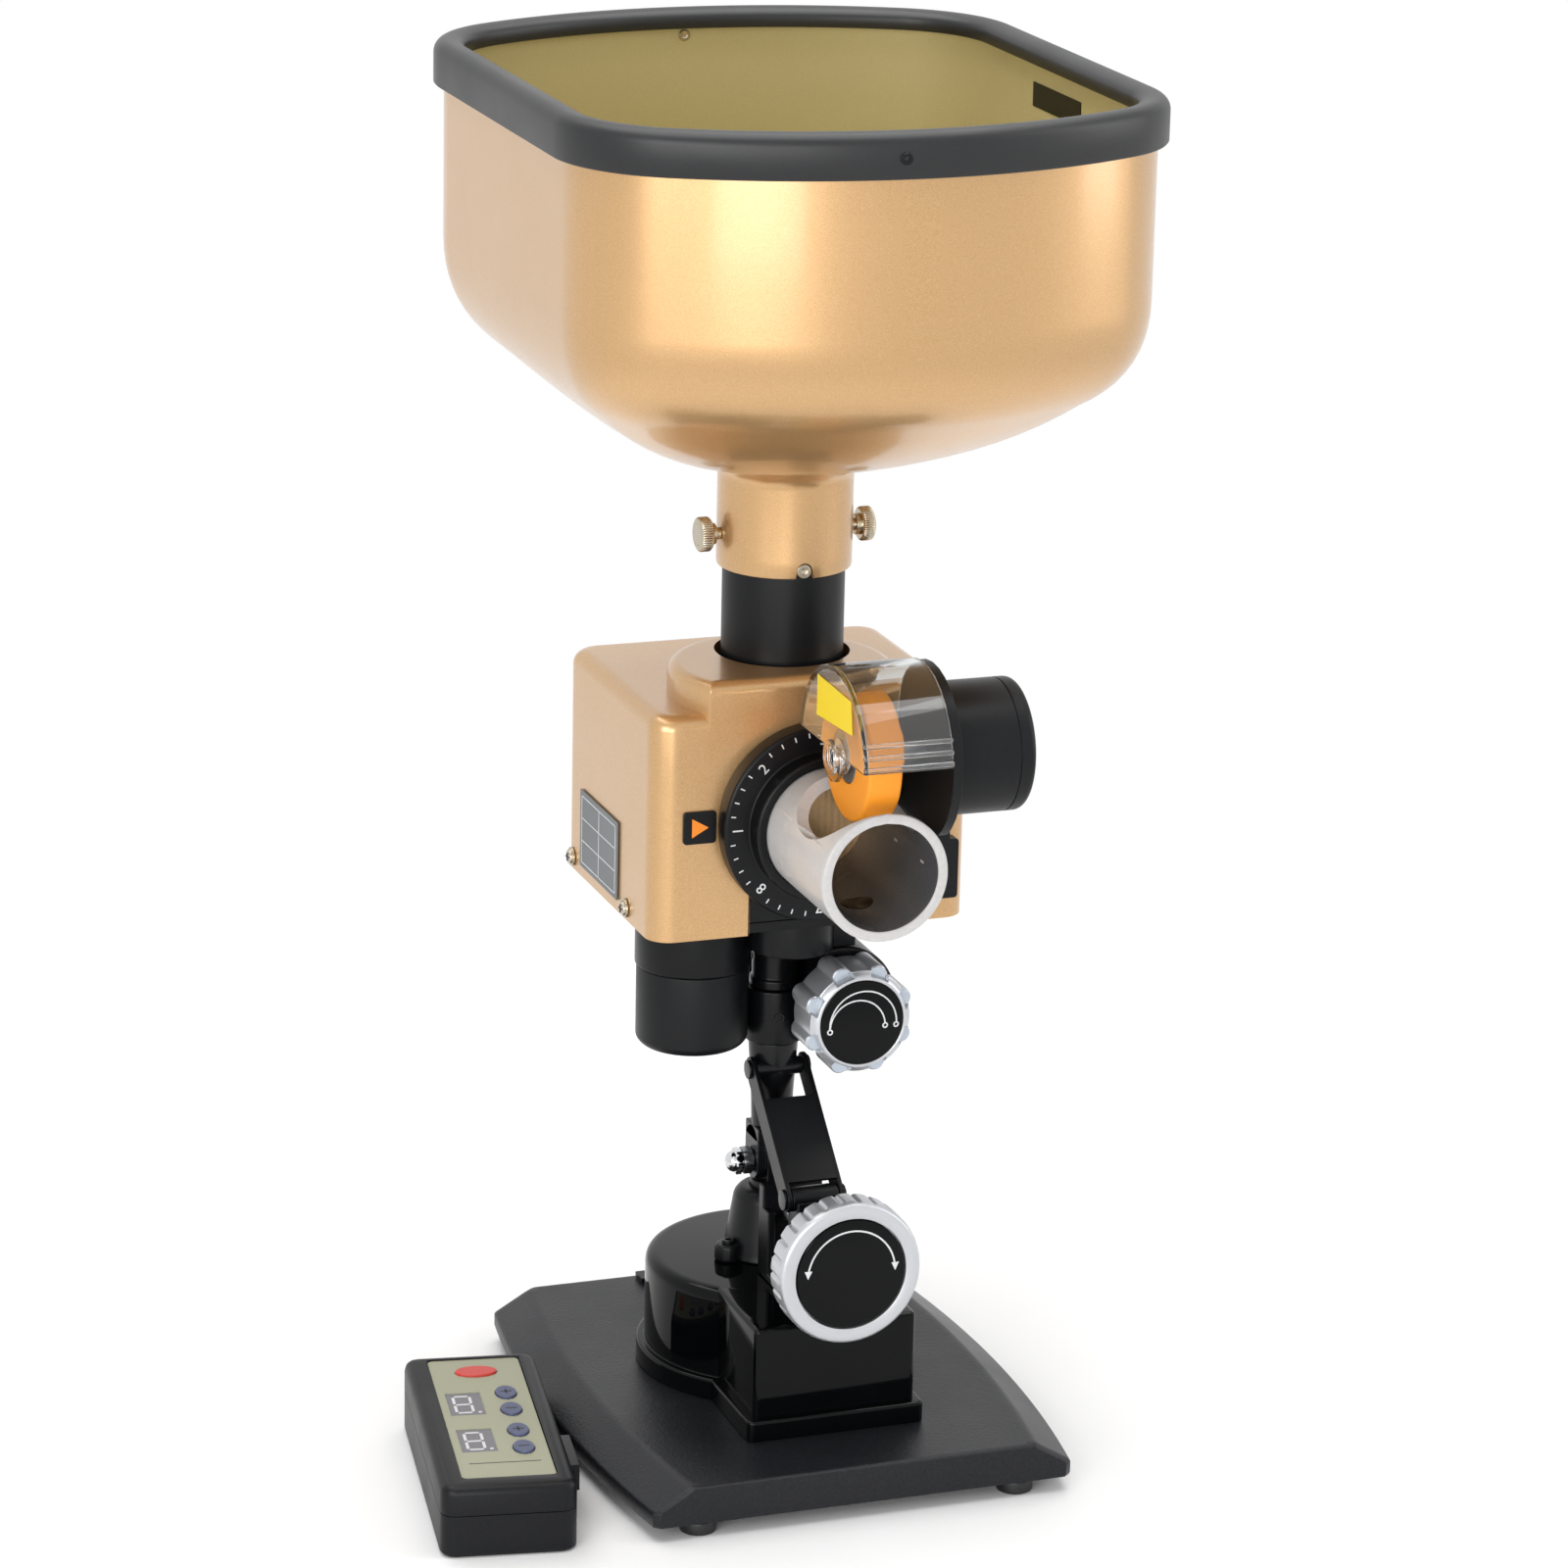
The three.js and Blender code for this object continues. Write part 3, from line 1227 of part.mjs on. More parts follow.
// A clear half drum over the wheel, closed at its left end.
function wheelGuard() {
  const right = bracketX - gap;
  const spot = [wheelY, wheelHeight];
  const low = wheelHeight + guardSkirt;
  const drum = cut(
    rod('x', guardRadius, guardX, right, spot, fineFlats),
    rod('x', guardRadius - guardWall, guardX + guardWall, right + overrun, spot, fineFlats));
  const reach = guardRadius + overrun;
  const above = block([guardX - overrun, right + overrun], [wheelY - reach, wheelY + reach],
    [low, wheelHeight + reach]);
  const lug = rod('x', guardLugRadius, guardX, guardX + guardWall, spot, smallFlats);
  const eye = rod('x', guardEyeRadius, guardX - overrun, guardX + guardWall + overrun, spot, smallFlats);
  return cut(join(common(drum, above), lug), eye);
}

function buildShooter(shooter) {
  const centre = [0, muzzleHeight];
  const bore = outletRadius + gap;
  const dialBack = headFrontY - gap;
  piece('dial', turned('y', [[bore, dialBack], [dialRadius, dialBack], [dialRadius, dialFaceY + dialEdge],
    [dialRadius - dialEdge, dialFaceY], [dialHubRadius, dialFaceY], [dialHubRadius, dialFaceY - dialHubReach],
    [bore, dialFaceY - dialHubReach], [bore, dialBack]], centre, fineFlats), 'satinBlack', shooter);

  const tubeBack = headFrontY + headWall;
  const tube = ring('y', outletRadius - outletWall, outletRadius, mouthY, tubeBack, centre, fineFlats);
  const spot = [wheelY, wheelHeight];
  const window = rod('x', wheelWindow, -outletRadius - overrun, outletRadius + overrun, spot, fineFlats);
  piece('outlet_tube', cut(tube, window), 'paleTube', shooter);

  piece('motor_bracket', motorBracket(), 'satinBlack', shooter);
  const motorLeft = bracketX + bracketThickness + gap;
  const motorRight = motorLeft + throwMotorLength;
  const canPoints = [[0, motorLeft], [throwMotorRadius, motorLeft],
    [throwMotorRadius, motorRight - throwMotorEdge]];
  for (let i = 1; i <= filletSteps; i += 1) {
    const angle = (Math.PI / 2) * (i / filletSteps);
    canPoints.push([throwMotorRadius - throwMotorEdge * (1 - Math.cos(angle)),
      motorRight - throwMotorEdge * (1 - Math.sin(angle))]);
  }
  canPoints.push([0, motorRight]);
  const axleHole = rod('x', axleRadius + runningGap, motorLeft - overrun, motorLeft + motorEdge, spot,
    smallFlats);
  piece('throw_motor', cut(turned('x', canPoints, spot), axleHole), 'satinBlack', shooter);
  piece('wheel_guard', wheelGuard(), 'clear', shooter);

  const half = wheelWidth / 2;
  piece('throw_wheel', turned('x', [[wheelBore, -half], [wheelRadius - wheelEdge, -half],
    [wheelRadius, -half + wheelEdge], [wheelRadius, half - wheelEdge], [wheelRadius - wheelEdge, half],
    [wheelBore, half], [wheelBore, -half]], spot, fineFlats), 'orange', shooter);
  piece('wheel_hub', join(
    rod('x', wheelBore - gap, -half, half, spot, plainFlats),
    rod('x', axleRadius, half - overrun, motorLeft + motorEdge - gap, spot, smallFlats)), 'steel', shooter);
  const washerFace = -half - gap;
  const washerEnd = washerFace - washerThickness;
  piece('wheel_screw', turned('x', [[0, washerEnd - wheelScrewHead],
    [wheelScrewRadius, washerEnd - wheelScrewHead], [wheelScrewRadius, washerEnd],
    [washerRadius, washerEnd], [washerRadius, washerFace], [0, washerFace]], spot, smallFlats),
  'chrome', shooter);
}

// Control box, in its own turned group

function buildControlBox() {
  const box = new THREE.Group();
  box.position.set(boxX, boxY, 0);
  box.rotation.z = THREE.MathUtils.degToRad(boxTurn);
  robot.add(box);
  const plan = (inset) => roundedRectangle(boxHalfX - inset, boxHalfY - inset, boxCorner - inset);
  const seam = boxHeight - lidHeight;
  const panelTop = boxHeight - panelDrop;
  const panelLow = panelTop - panelThickness;
  const keyLow = panelLow - keyTravelRoom;
  const keyTop = panelTop + keyProud;
  const inner = (inset) => plan(inset + boxWall);
  const bottom = cut(softSlab(plan, 0, seam - gap, gap, endChamfer, chamferSteps),
    plate('z', inner(0), boxWall, seam));
  piece('control_case_lower', bottom, 'satinBlack', box);
  const recess = plate('z', roundedRectangle(panelHalfX + gap, panelHalfY + gap, panelCorner,
    [panelX, panelY]), panelLow - gap, boxHeight + overrun);
  const roof = keyLow - gap - boxWall;
  const keys = {
    key_stop: [stopX, stopY, stopHalfX, stopHalfY, 'keyRed'],
    key_speed_up: [keyX, keyUpperY, keyHalfX, keyHalfY, 'keyBlue'],
    key_speed_down: [keyX, keyUpperY - keyPitch, keyHalfX, keyHalfY, 'keyBlue'],
    key_rate_up: [keyX, keyLowerY, keyHalfX, keyHalfY, 'keyBlue'],
    key_rate_down: [keyX, keyLowerY - keyPitch, keyHalfX, keyHalfY, 'keyBlue'],
  };
  const oval = (x, y, halfX, halfY, grow, low, high) => {
    const points = circleOutline(1, [0, 0], smallFlats)
      .map(([u, v]) => [x + u * (halfX + grow), y + v * (halfY + grow)]);
    return plate('z', points, low, high);
  };
  const bay = block([stopX - stopHalfX - keyPlay, keyX + keyHalfX + keyPlay],
    [keyLowerY - keyPitch - keyHalfY - keyPlay, stopY + stopHalfY + keyPlay], [keyLow - gap, boxHeight]);
  const top = cut(softSlab(plan, seam, boxHeight, boxEdge), recess,
    softSlab(inner, seam - overrun, roof, endChamfer, 0, chamferSteps), bay);
  const hookX = boxHalfX - overrun;
  const hook = join(
    block([hookX, boxHalfX + hookReach], [hookY - hookWidth / 2, hookY + hookWidth / 2],
      [boxHeight - lidHeight / 2 - hookThickness, boxHeight - lidHeight / 2]),
    block([boxHalfX + hookReach - hookThickness, boxHalfX + hookReach],
      [hookY - hookWidth / 2, hookY + hookWidth / 2],
      [boxHeight - lidHeight / 2 - hookDrop, boxHeight - lidHeight / 2]));
  piece('control_case_upper', join(top, hook), 'satinBlack', box);
  const windows = [windowUpperY, windowLowerY].map((y) => block(
    [windowX - windowHalfX, windowX + windowHalfX], [y - windowHalfY, y + windowHalfY],
    [panelTop - windowDepth, boxHeight + overrun]));
  const panelPlan = roundedRectangle(panelHalfX, panelHalfY, panelCorner - gap, [panelX, panelY]);
  const panel = cut(plate('z', panelPlan, panelLow, panelTop), ...windows,
    ...Object.values(keys).map(([x, y, halfX, halfY]) =>
      oval(x, y, halfX, halfY, keyPlay, panelLow - overrun, panelTop + overrun)));
  piece('control_panel', panel, 'panelBeige', box);
  for (const [name, [x, y, halfX, halfY, look]] of Object.entries(keys)) {
    const outline = (inset) => circleOutline(1, [0, 0], smallFlats)
      .map(([u, v]) => [x + u * (halfX - inset), y + v * (halfY - inset)]);
    piece(name, softSlab(outline, keyLow + keyTravelRoom, keyTop, keyProud / 2, 0, chamferSteps), look, box);
  }
}

const head = new THREE.Group();
const shooter = new THREE.Group();
head.add(shooter);
robot.add(head);

buildBase();
buildHinge();
buildNeck();
buildElevation();
buildHeadBase(head);
buildHeadCover(head);
buildFeed(head);
buildHopper(head);
buildShooter(shooter);
buildControlBox();

// The whole reaches from the box's outer corner to the hopper's edge.
const boxAngle = THREE.MathUtils.degToRad(Math.abs(boxTurn));
const boxReach = (boxHalfX - boxCorner) * Math.cos(boxAngle)
  + (boxHalfY - boxCorner) * Math.sin(boxAngle) + boxCorner;
robot.position.set(-(rimHalfX + boxX - boxReach) / 2, -axisY, 0);

export default robot;
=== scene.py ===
"""The look of the table tennis robot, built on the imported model.

Sizes here are millimetres from the middle of the base plate, +Z up, front towards -Y.
skin() moves a piece into the model's frame and turns its sizes into metres.
"""
import json
import math

import bmesh
import bpy
import numpy as np
from mathutils import Matrix, Vector

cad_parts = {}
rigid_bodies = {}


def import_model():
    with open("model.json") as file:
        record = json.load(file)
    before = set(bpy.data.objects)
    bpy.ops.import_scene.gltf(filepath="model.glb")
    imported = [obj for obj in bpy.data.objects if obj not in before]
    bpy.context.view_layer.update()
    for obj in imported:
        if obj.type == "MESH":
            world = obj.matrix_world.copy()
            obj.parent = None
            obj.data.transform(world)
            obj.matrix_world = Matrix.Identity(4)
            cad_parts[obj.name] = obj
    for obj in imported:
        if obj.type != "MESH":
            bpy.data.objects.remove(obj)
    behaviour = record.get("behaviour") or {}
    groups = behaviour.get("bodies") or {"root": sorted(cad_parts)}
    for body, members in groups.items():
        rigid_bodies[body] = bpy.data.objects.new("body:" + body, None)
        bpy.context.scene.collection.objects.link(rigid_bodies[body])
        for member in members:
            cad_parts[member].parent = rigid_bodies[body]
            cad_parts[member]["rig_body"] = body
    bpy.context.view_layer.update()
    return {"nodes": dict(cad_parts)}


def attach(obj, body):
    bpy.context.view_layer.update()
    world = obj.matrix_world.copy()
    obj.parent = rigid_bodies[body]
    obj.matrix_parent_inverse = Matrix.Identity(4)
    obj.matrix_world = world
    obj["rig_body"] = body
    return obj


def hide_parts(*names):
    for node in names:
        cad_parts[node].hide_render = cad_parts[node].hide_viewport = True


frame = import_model()

MM = 0.001
TURN = 2 * math.pi
# Points nearer to each other than this, in metres, are one point
WELD = 2e-6
# Edges steeper than this, in degrees, stay crisp where a piece gives no angle of its own
CRISP = 38

# The base plate's middle in the model's frame
ORIGIN = np.array([25.04, -10.5, 0])

# Sizes shared with the model
AXIS_Y = 10.5
TURRET_TOP = 69.5
PIVOT_Z = 110.5
SCREW_Z = 96
NECK_TOP = 163.5
NUT_AT = (-40.6, 111.8)
UPPER_PIN_AT = (4.5, 152.6)
HUB_LOW, HUB_TOP = 209.1, 223.1
KNOB_X, KNOB_Z = 20, 184.7
HEAD_LOW = 223.4
HEAD_HALF = 67.5
HEAD_FRONT, HEAD_REAR = -31, 84
TUBE_HOLE = 27.5
NOTCH_LEFT, NOTCH_RIGHT, NOTCH_TOP = -27, 45, 245
SHOULDER_Z = 317
CROWN_Z = 330
MUZZLE_Z = 271
MUZZLE_OUTER, MUZZLE_INNER = 26, 22
WHEEL_Y, WHEEL_Z = -85, 313
WHEEL_ROOM = 31.3
COLLAR_LOW = 366
# The key screw on the feed tube, and the radius of the collar's notch that drops over it
KEY_X, KEY_Z, KEY_NOTCH = -1, 369.2, 3.4
THUMB_Z = 380
THROAT_LOW = 396
RIM_Z = 567.6
FEED_AT = (-35.8, AXIS_Y)
BOX_AT = (-136, -37.2)
BOX_TURN = math.radians(-9.5)


# Materials


def colour(code):
    """A linear colour from the code of a colour on a screen."""
    share = np.array([code >> 16 & 255, code >> 8 & 255, code & 255]) / 255
    low = share / 12.92
    high = ((share + 0.055) / 1.055) ** 2.4
    return (*np.where(share <= 0.04045, low, high), 1)


def add(tree, kind, inputs=None, **settings):
    """A node of that kind, with its settings made and its inputs set or linked."""
    node = tree.nodes.new(kind)
    for name, value in settings.items():
        setattr(node, name, value)
    for name, value in (inputs or {}).items():
        if isinstance(value, bpy.types.NodeSocket):
            tree.links.new(value, node.inputs[name])
        else:
            node.inputs[name].default_value = value
    return node


def per_metre(size):
    """The texture scale whose cells are about that many millimetres wide."""
    return 1 / (size * MM)


def finish(name, main, second, grain, depth, rough=(0.4, 0.5), amount=0.5, **shader):
    """A procedural finish: fine grain of that size mixes a second colour in and gives the bump its
    depth, both in millimetres. Soft patches 45 mm wide move the roughness between its two values."""
    material = bpy.data.materials.new(name)
    material.use_nodes = True
    tree = material.node_tree
    tree.nodes.clear()
    spot = add(tree, "ShaderNodeTexCoord").outputs["Object"]
    fine = add(tree, "ShaderNodeTexNoise",
               {"Vector": spot, "Scale": per_metre(grain), "Detail": 3.0, "Roughness": 0.6})
    wide = add(tree, "ShaderNodeTexNoise", {"Vector": spot, "Scale": per_metre(45), "Detail": 2.0})
    mottled = add(tree, "ShaderNodeMapRange",
                  {"Value": fine.outputs["Fac"], "From Min": 0.35, "From Max": 0.7, "To Max": amount})
    mixed = add(tree, "ShaderNodeMix",
                {"Factor": mottled.outputs["Result"], "A": colour(main), "B": colour(second)},
                data_type="RGBA")
    uneven = add(tree, "ShaderNodeMapRange",
                 {"Value": wide.outputs["Fac"], "From Min": 0.3, "From Max": 0.7,
                  "To Min": rough[0], "To Max": rough[1]})
    bump = add(tree, "ShaderNodeBump",
               {"Height": fine.outputs["Fac"], "Distance": depth * MM, "Strength": 1.0})
    inputs = {"Base Color": mixed.outputs["Result"], "Roughness": uneven.outputs["Result"],
              "Normal": bump.outputs["Normal"]}
    inputs.update({key.replace("_", " "): value for key, value in shader.items()})
    shading = add(tree, "ShaderNodeBsdfPrincipled", inputs)
    add(tree, "ShaderNodeOutputMaterial", {"Surface": shading.outputs["BSDF"]})
    return material


# Champagne metallic lacquer, sprayed: fine bright flakes under a clear coat, with a satin shine
gold = finish("champagne_lacquer", 0xBE9560, 0xDAB488, 0.35, 0.004, rough=(0.3, 0.35), amount=0.7,
              Metallic=0.65, Coat_Weight=0.6, Coat_Roughness=0.12)
# The hopper's inside: the same lacquer sprayed thinly over a pale ground, duller and greener
gold_inside = finish("thin_inner_lacquer", 0xC4B682, 0xD0C496, 0.5, 0.006, rough=(0.5, 0.6), amount=0.6,
                     Metallic=0.2)
# The blacks stand in a white room, so their specular level is low, which keeps them deep.
# Powder-coated steel: a fine orange-peel texture that breaks up the light
powder_black = finish("black_powder_coat", 0x16171A, 0x28292D, 1.2, 0.16, rough=(0.3, 0.4),
                      Specular_IOR_Level=0.25)
# Piano-black moulded plastic: mirror-like with faint waviness
piano_black = finish("piano_black_plastic", 0x040506, 0x08090B, 22, 0.015, rough=(0.04, 0.07),
                     Specular_IOR_Level=0.15)
# Satin black moulded plastic with spark-eroded grain: its highlights are soft and wide
satin_black = finish("satin_black_plastic", 0x0B0C0E, 0x141517, 0.6, 0.02, rough=(0.28, 0.36),
                     Specular_IOR_Level=0.2)
# Matte black moulded plastic of the control box: hardly any highlight
case_black = finish("control_case_plastic", 0x0E0F12, 0x191A1D, 0.8, 0.05, rough=(0.36, 0.44),
                    Specular_IOR_Level=0.2)
# Machined and blackened steel: smooth, with narrow dark highlights
black_steel = finish("blackened_steel", 0x0C0D0F, 0x17181B, 0.5, 0.006, rough=(0.2, 0.3),
                     Specular_IOR_Level=0.25)
# Powder-coated motor casings and the bracket: matte and finely grained
casing_black = finish("black_casing_coat", 0x0F1012, 0x191B1D, 0.5, 0.03, rough=(0.36, 0.44),
                      Specular_IOR_Level=0.2)
# Anodised black aluminium of the turned parts: an even black with a soft sheen
black_anodised = finish("black_anodised_aluminium", 0x090A0C, 0x121315, 0.4, 0.008, rough=(0.26, 0.34),
                        Specular_IOR_Level=0.2)
# Silver-painted knob plastic: a fine metallic grain blurs what it mirrors
silver = finish("silver_painted_plastic", 0xBEC0C4, 0xD2D4D7, 0.3, 0.005, rough=(0.3, 0.38),
                Metallic=0.65)
# Pads on the knob's lobes, painted silver like the knob: their paler, bluer colour is a painted reflection,
# and they are smoother than the knob, so they shine more
pad_sheen_silver = finish("silver_pad_painted_sheen", 0xB4BDC8, 0xC6CED8, 0.3, 0.003, rough=(0.22, 0.3),
                    Metallic=0.45)
# Chromium plating: a near mirror
chrome = finish("chromium_plate", 0xD9DADC, 0xC9CACD, 2, 0.002, rough=(0.06, 0.12), Metallic=1.0)
# Turned steel of bolts and screws: fine tool marks blur its reflections
steel = finish("turned_steel", 0x84868A, 0xA3A5A8, 0.3, 0.004, rough=(0.28, 0.38), Metallic=1.0)
# Nickel plating on the knurled screws: warmer and softer than chromium
nickel = finish("nickel_plate", 0xB9AF9C, 0xCCC4B4, 0.4, 0.003, rough=(0.2, 0.3), Metallic=1.0)
# Rubber: dull and finely pitted
rubber = finish("black_rubber", 0x111214, 0x1C1D20, 0.7, 0.035, rough=(0.38, 0.46))
# Pale grey moulded plastic of the outlet tube: smooth and glossy
pale_plastic = finish("pale_grey_plastic", 0xBFBDBC, 0xCCCAC9, 1.5, 0.01, rough=(0.22, 0.3))
# Dark plastic liner inside the outlet tube: smooth, so it catches the light at its edge
liner = finish("dark_tube_liner", 0x505154, 0x606164, 0.8, 0.02, rough=(0.2, 0.28))
# Orange elastomer foam of the tyre: fine cells and no shine
foam = finish("orange_foam_rubber", 0xF59A1E, 0xE8860D, 0.5, 0.03, rough=(0.5, 0.62))
# Clear moulded polycarbonate: seen by its edges and highlights
clear = finish("clear_polycarbonate", 0xF4F6F6, 0xEDF0F0, 30, 0.01, rough=(0.02, 0.04), IOR=1.585,
               Transmission_Weight=1.0)
# Printed polyester foil of the panel and its keys: flat colour with a faint sheen
panel_foil = finish("panel_foil", 0x9F9F86, 0xAAAA92, 0.5, 0.006, rough=(0.42, 0.5))
blue_key = finish("blue_foil_key", 0x454C6C, 0x52597A, 0.5, 0.006, rough=(0.36, 0.45))
red_key = finish("red_foil_key", 0xC9382F, 0xD34A3F, 0.5, 0.006, rough=(0.36, 0.45))
# Display windows, set a little below the foil, and their unlit bars: smoother than the foil
window_grey = finish("display_window", 0x6A686D, 0x747277, 0.6, 0.004, rough=(0.2, 0.3))
digit_white = finish("unlit_display_bar", 0xD9D6DA, 0xE4E2E5, 0.5, 0.002, rough=(0.3, 0.4))
# Screen-printed inks: flat, with no texture to be seen
# The dark ink also lies on the cover screws' heads as painted shade in their cross slots
dark_ink_and_slot_shade = finish("dark_print_and_slot_shade", 0x24232A, 0x302F35, 0.4, 0.002, rough=(0.5, 0.6))
white_ink = finish("white_print", 0xD0D2D4, 0xE2E3E5, 0.4, 0.002, rough=(0.4, 0.5))
orange_ink = finish("orange_print", 0xF08A1C, 0xE67A10, 0.4, 0.002, rough=(0.4, 0.5))
# Yellow self-adhesive foil, left bare: an even colour with a faint sheen
yellow_foil = finish("yellow_sticker", 0xF0D51C, 0xE6C912, 0.5, 0.003, rough=(0.35, 0.45))
# Aluminium foil of the rating plate, left bare: metallic, but blurred by its grain
label_metal = finish("rating_plate_aluminium", 0x66696C, 0x787B7E, 0.4, 0.004, rough=(0.38, 0.46),
                     Metallic=0.4)


# Meshes from whole arrays of points


def quads(rows, columns, round_rows=False):
    """Faces between neighbours of a grid whose columns close round, and whose rows may do so too."""
    row = np.arange(rows if round_rows else rows - 1)[:, None]
    column = np.arange(columns)[None, :]
    here, below = row * columns, (row + 1) % rows * columns
    beside = (column + 1) % columns
    corners = [here + column, here + beside, below + beside, below + column]
    return np.stack(np.broadcast_arrays(*corners), -1).reshape(-1, 4)


def sheet(grid, closed=False):
    """A grid of points (rows, columns, 3) with its faces; closed also joins its last row to its first."""
    return grid, quads(*grid.shape[:2], round_rows=closed)


def skin(name, parts, material, body, nodes=(), sharp=CRISP):
    """One piece from parts, each a grid with its faces. Doubled points merge, faces turn outwards,
    and edges steeper than sharp degrees stay crisp."""
    points, faces, start = [], [], 0
    for grid, face in parts:
        flat = np.asarray(grid, float).reshape(-1, 3)
        points.append(flat)
        faces += (np.asarray(face) + start).tolist()
        start += len(flat)
    mesh = bpy.data.meshes.new(name)
    mesh.from_pydata(((np.concatenate(points) + ORIGIN) * MM).tolist(), [], faces)
    soften(mesh, sharp)
    return place(name, mesh, material, body, nodes)


def soften(mesh, sharp):
    """Merges doubled points, turns the faces outwards and smooths all but the crisp edges."""
    work = bmesh.new()
    work.from_mesh(mesh)
    bmesh.ops.remove_doubles(work, verts=work.verts, dist=WELD)
    bmesh.ops.dissolve_degenerate(work, edges=work.edges, dist=WELD)
    bmesh.ops.recalc_face_normals(work, faces=work.faces)
    work.to_mesh(mesh)
    work.free()
    mesh.polygons.foreach_set("use_smooth", np.ones(len(mesh.polygons), bool))
    mesh.set_sharp_from_angle(angle=math.radians(sharp))


def place(name, mesh, material, body, nodes=()):
    """An object of that mesh and finish, riding on its body and standing for its nodes."""
    piece = bpy.data.objects.new(name, mesh)
    bpy.context.collection.objects.link(piece)
    mesh.materials.clear()
    mesh.materials.append(material)
    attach(piece, body)
    if nodes:
        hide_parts(*nodes)
    return piece


def remade(node, parts, material, sharp=CRISP):
    """New parts as one piece that stands for one node and rides on that node's body."""
    return skin(node + "_look", parts, material, frame["nodes"][node]["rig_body"], [node], sharp)


def dressed(node, material, bevel):
    """A copy of a node whose flat facets are merged and whose crisp corners get a small bevel."""
    mesh = frame["nodes"][node].data.copy()
    work = bmesh.new()
    work.from_mesh(mesh)
    bmesh.ops.remove_doubles(work, verts=work.verts, dist=WELD)
    bmesh.ops.dissolve_limit(work, angle_limit=math.radians(0.5), verts=work.verts, edges=work.edges)
    work.to_mesh(mesh)
    work.free()
    soften(mesh, CRISP)
    piece = place(node + "_look", mesh, material, frame["nodes"][node]["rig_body"], [node])
    rounding = piece.modifiers.new("rounding", "BEVEL")
    rounding.width = bevel * MM
    rounding.segments = 2
    rounding.limit_method = "ANGLE"
    rounding.angle_limit = math.radians(CRISP)
    rounding.harden_normals = True


def repaint(piece, material, chosen):
    """A second finish on the faces that chosen(middles, normals) picks, in this script's sizes."""
    mesh = piece.data
    middle, normal = np.empty(3 * len(mesh.polygons)), np.empty(3 * len(mesh.polygons))
    mesh.polygons.foreach_get("center", middle)
    mesh.polygons.foreach_get("normal", normal)
    mesh.materials.append(material)
    picked = chosen(middle.reshape(-1, 3) / MM - ORIGIN, normal.reshape(-1, 3))
    mesh.polygons.foreach_set("material_index", picked.astype(np.int32))


def rounded(path, radius, steps=4):
    """A path whose inner corners are swapped for parabolas that start radius away from each, or
    nearly half a side away where a side is short."""
    path = np.asarray(path, float)
    radius = np.broadcast_to(radius, len(path))
    share = np.linspace(0, 1, steps + 1)[:, None]
    result = [path[:1]]
    for before, corner, after, size in zip(path[:-2], path[1:-1], path[2:], radius[1:-1]):
        back, ahead = before - corner, after - corner
        size = min(size, 0.48 * np.linalg.norm(back), 0.48 * np.linalg.norm(ahead))
        start = corner + back / np.linalg.norm(back) * size
        end = corner + ahead / np.linalg.norm(ahead) * size
        result.append((1 - share) ** 2 * start + 2 * share * (1 - share) * corner + share ** 2 * end)
    result.append(path[-1:])
    return np.concatenate(result)


# The places in a point of the two other axes and of the axis itself
AXES = {"x": (1, 2, 0), "y": (0, 2, 1), "z": (0, 1, 2)}


def around(axis, angle, reach, along, across=(0, 0)):
    """Points round a line along the axis: reach away from it at each angle, and at a place along it.
    The line crosses the other two axes at across."""
    u, v, w = AXES[axis]
    grid = np.empty((*np.broadcast_shapes(np.shape(reach), np.shape(along), angle.shape), 3))
    grid[..., u] = across[0] + reach * np.cos(angle)
    grid[..., v] = across[1] + reach * np.sin(angle)
    grid[..., w] = along
    return grid


def spin(axis, path, across=(0, 0), steps=96):
    """A turned form: the path's (radius, place along the axis) goes once round a line that crosses
    the other two axes at across."""
    path = np.asarray(path, float)
    angle = np.arange(steps) * TURN / steps
    return sheet(around(axis, angle, path[:, :1], path[:, 1:], across))


def drum(radius, low, high, soft=0.5):
    """The path of a solid disc or rod between two places on its axis, its edges rounded."""
    return rounded([(0, low), (radius, low), (radius, high), (0, high)], [0, soft, soft, 0])


def level(spots, height):
    """The points of an outline, all at one height."""
    return np.column_stack([spots, np.full(len(spots), float(height))])


def capped(rows):
    """A stack of sections between flat ends, each end a narrow band and a fan to its middle."""
    ends = []
    for section in (rows[0], rows[-1]):
        middle = section.mean(0)
        ends.append([middle + (section - middle) * share for share in (0.985, 0)])
    return np.stack(ends[0][::-1] + rows + ends[1])


def loft(outline, profile, axis="z"):
    """A solid whose section is outline(inset) at each (inset, height) of the profile."""
    grid = capped([level(outline(inset), height) for inset, height in profile])
    return sheet(grid[..., np.argsort(AXES[axis])])


def round_box(half_x, half_y, corner, middle=(0, 0), steps=10):
    """An outline of a rectangle with arcs at its corners, as a function of the inset."""
    def outline(inset):
        size = max(corner - inset, 0.05)
        angle = np.linspace(0, TURN / 4, steps + 1)
        points = []
        for quarter, (sx, sy) in enumerate([(1, 1), (-1, 1), (-1, -1), (1, -1)]):
            turn = angle + quarter * TURN / 4
            points.append(np.column_stack([
                middle[0] + sx * (half_x - inset - size) + size * np.cos(turn),
                middle[1] + sy * (half_y - inset - size) + size * np.sin(turn)]))
        return np.concatenate(points)
    return outline


def capsule(start, end, radius, steps=16):
    """An outline round two points: two half circles joined by straight sides."""
    heading = math.atan2(end[1] - start[1], end[0] - start[0])

    def outline(inset):
        turn = heading + np.linspace(TURN / 4, 3 * TURN / 4, steps + 1)
        size = radius - inset
        first = np.column_stack([start[0] + size * np.cos(turn), start[1] + size * np.sin(turn)])
        last = np.column_stack([end[0] - size * np.cos(turn), end[1] - size * np.sin(turn)])
        return np.vstack([first, last])
    return outline


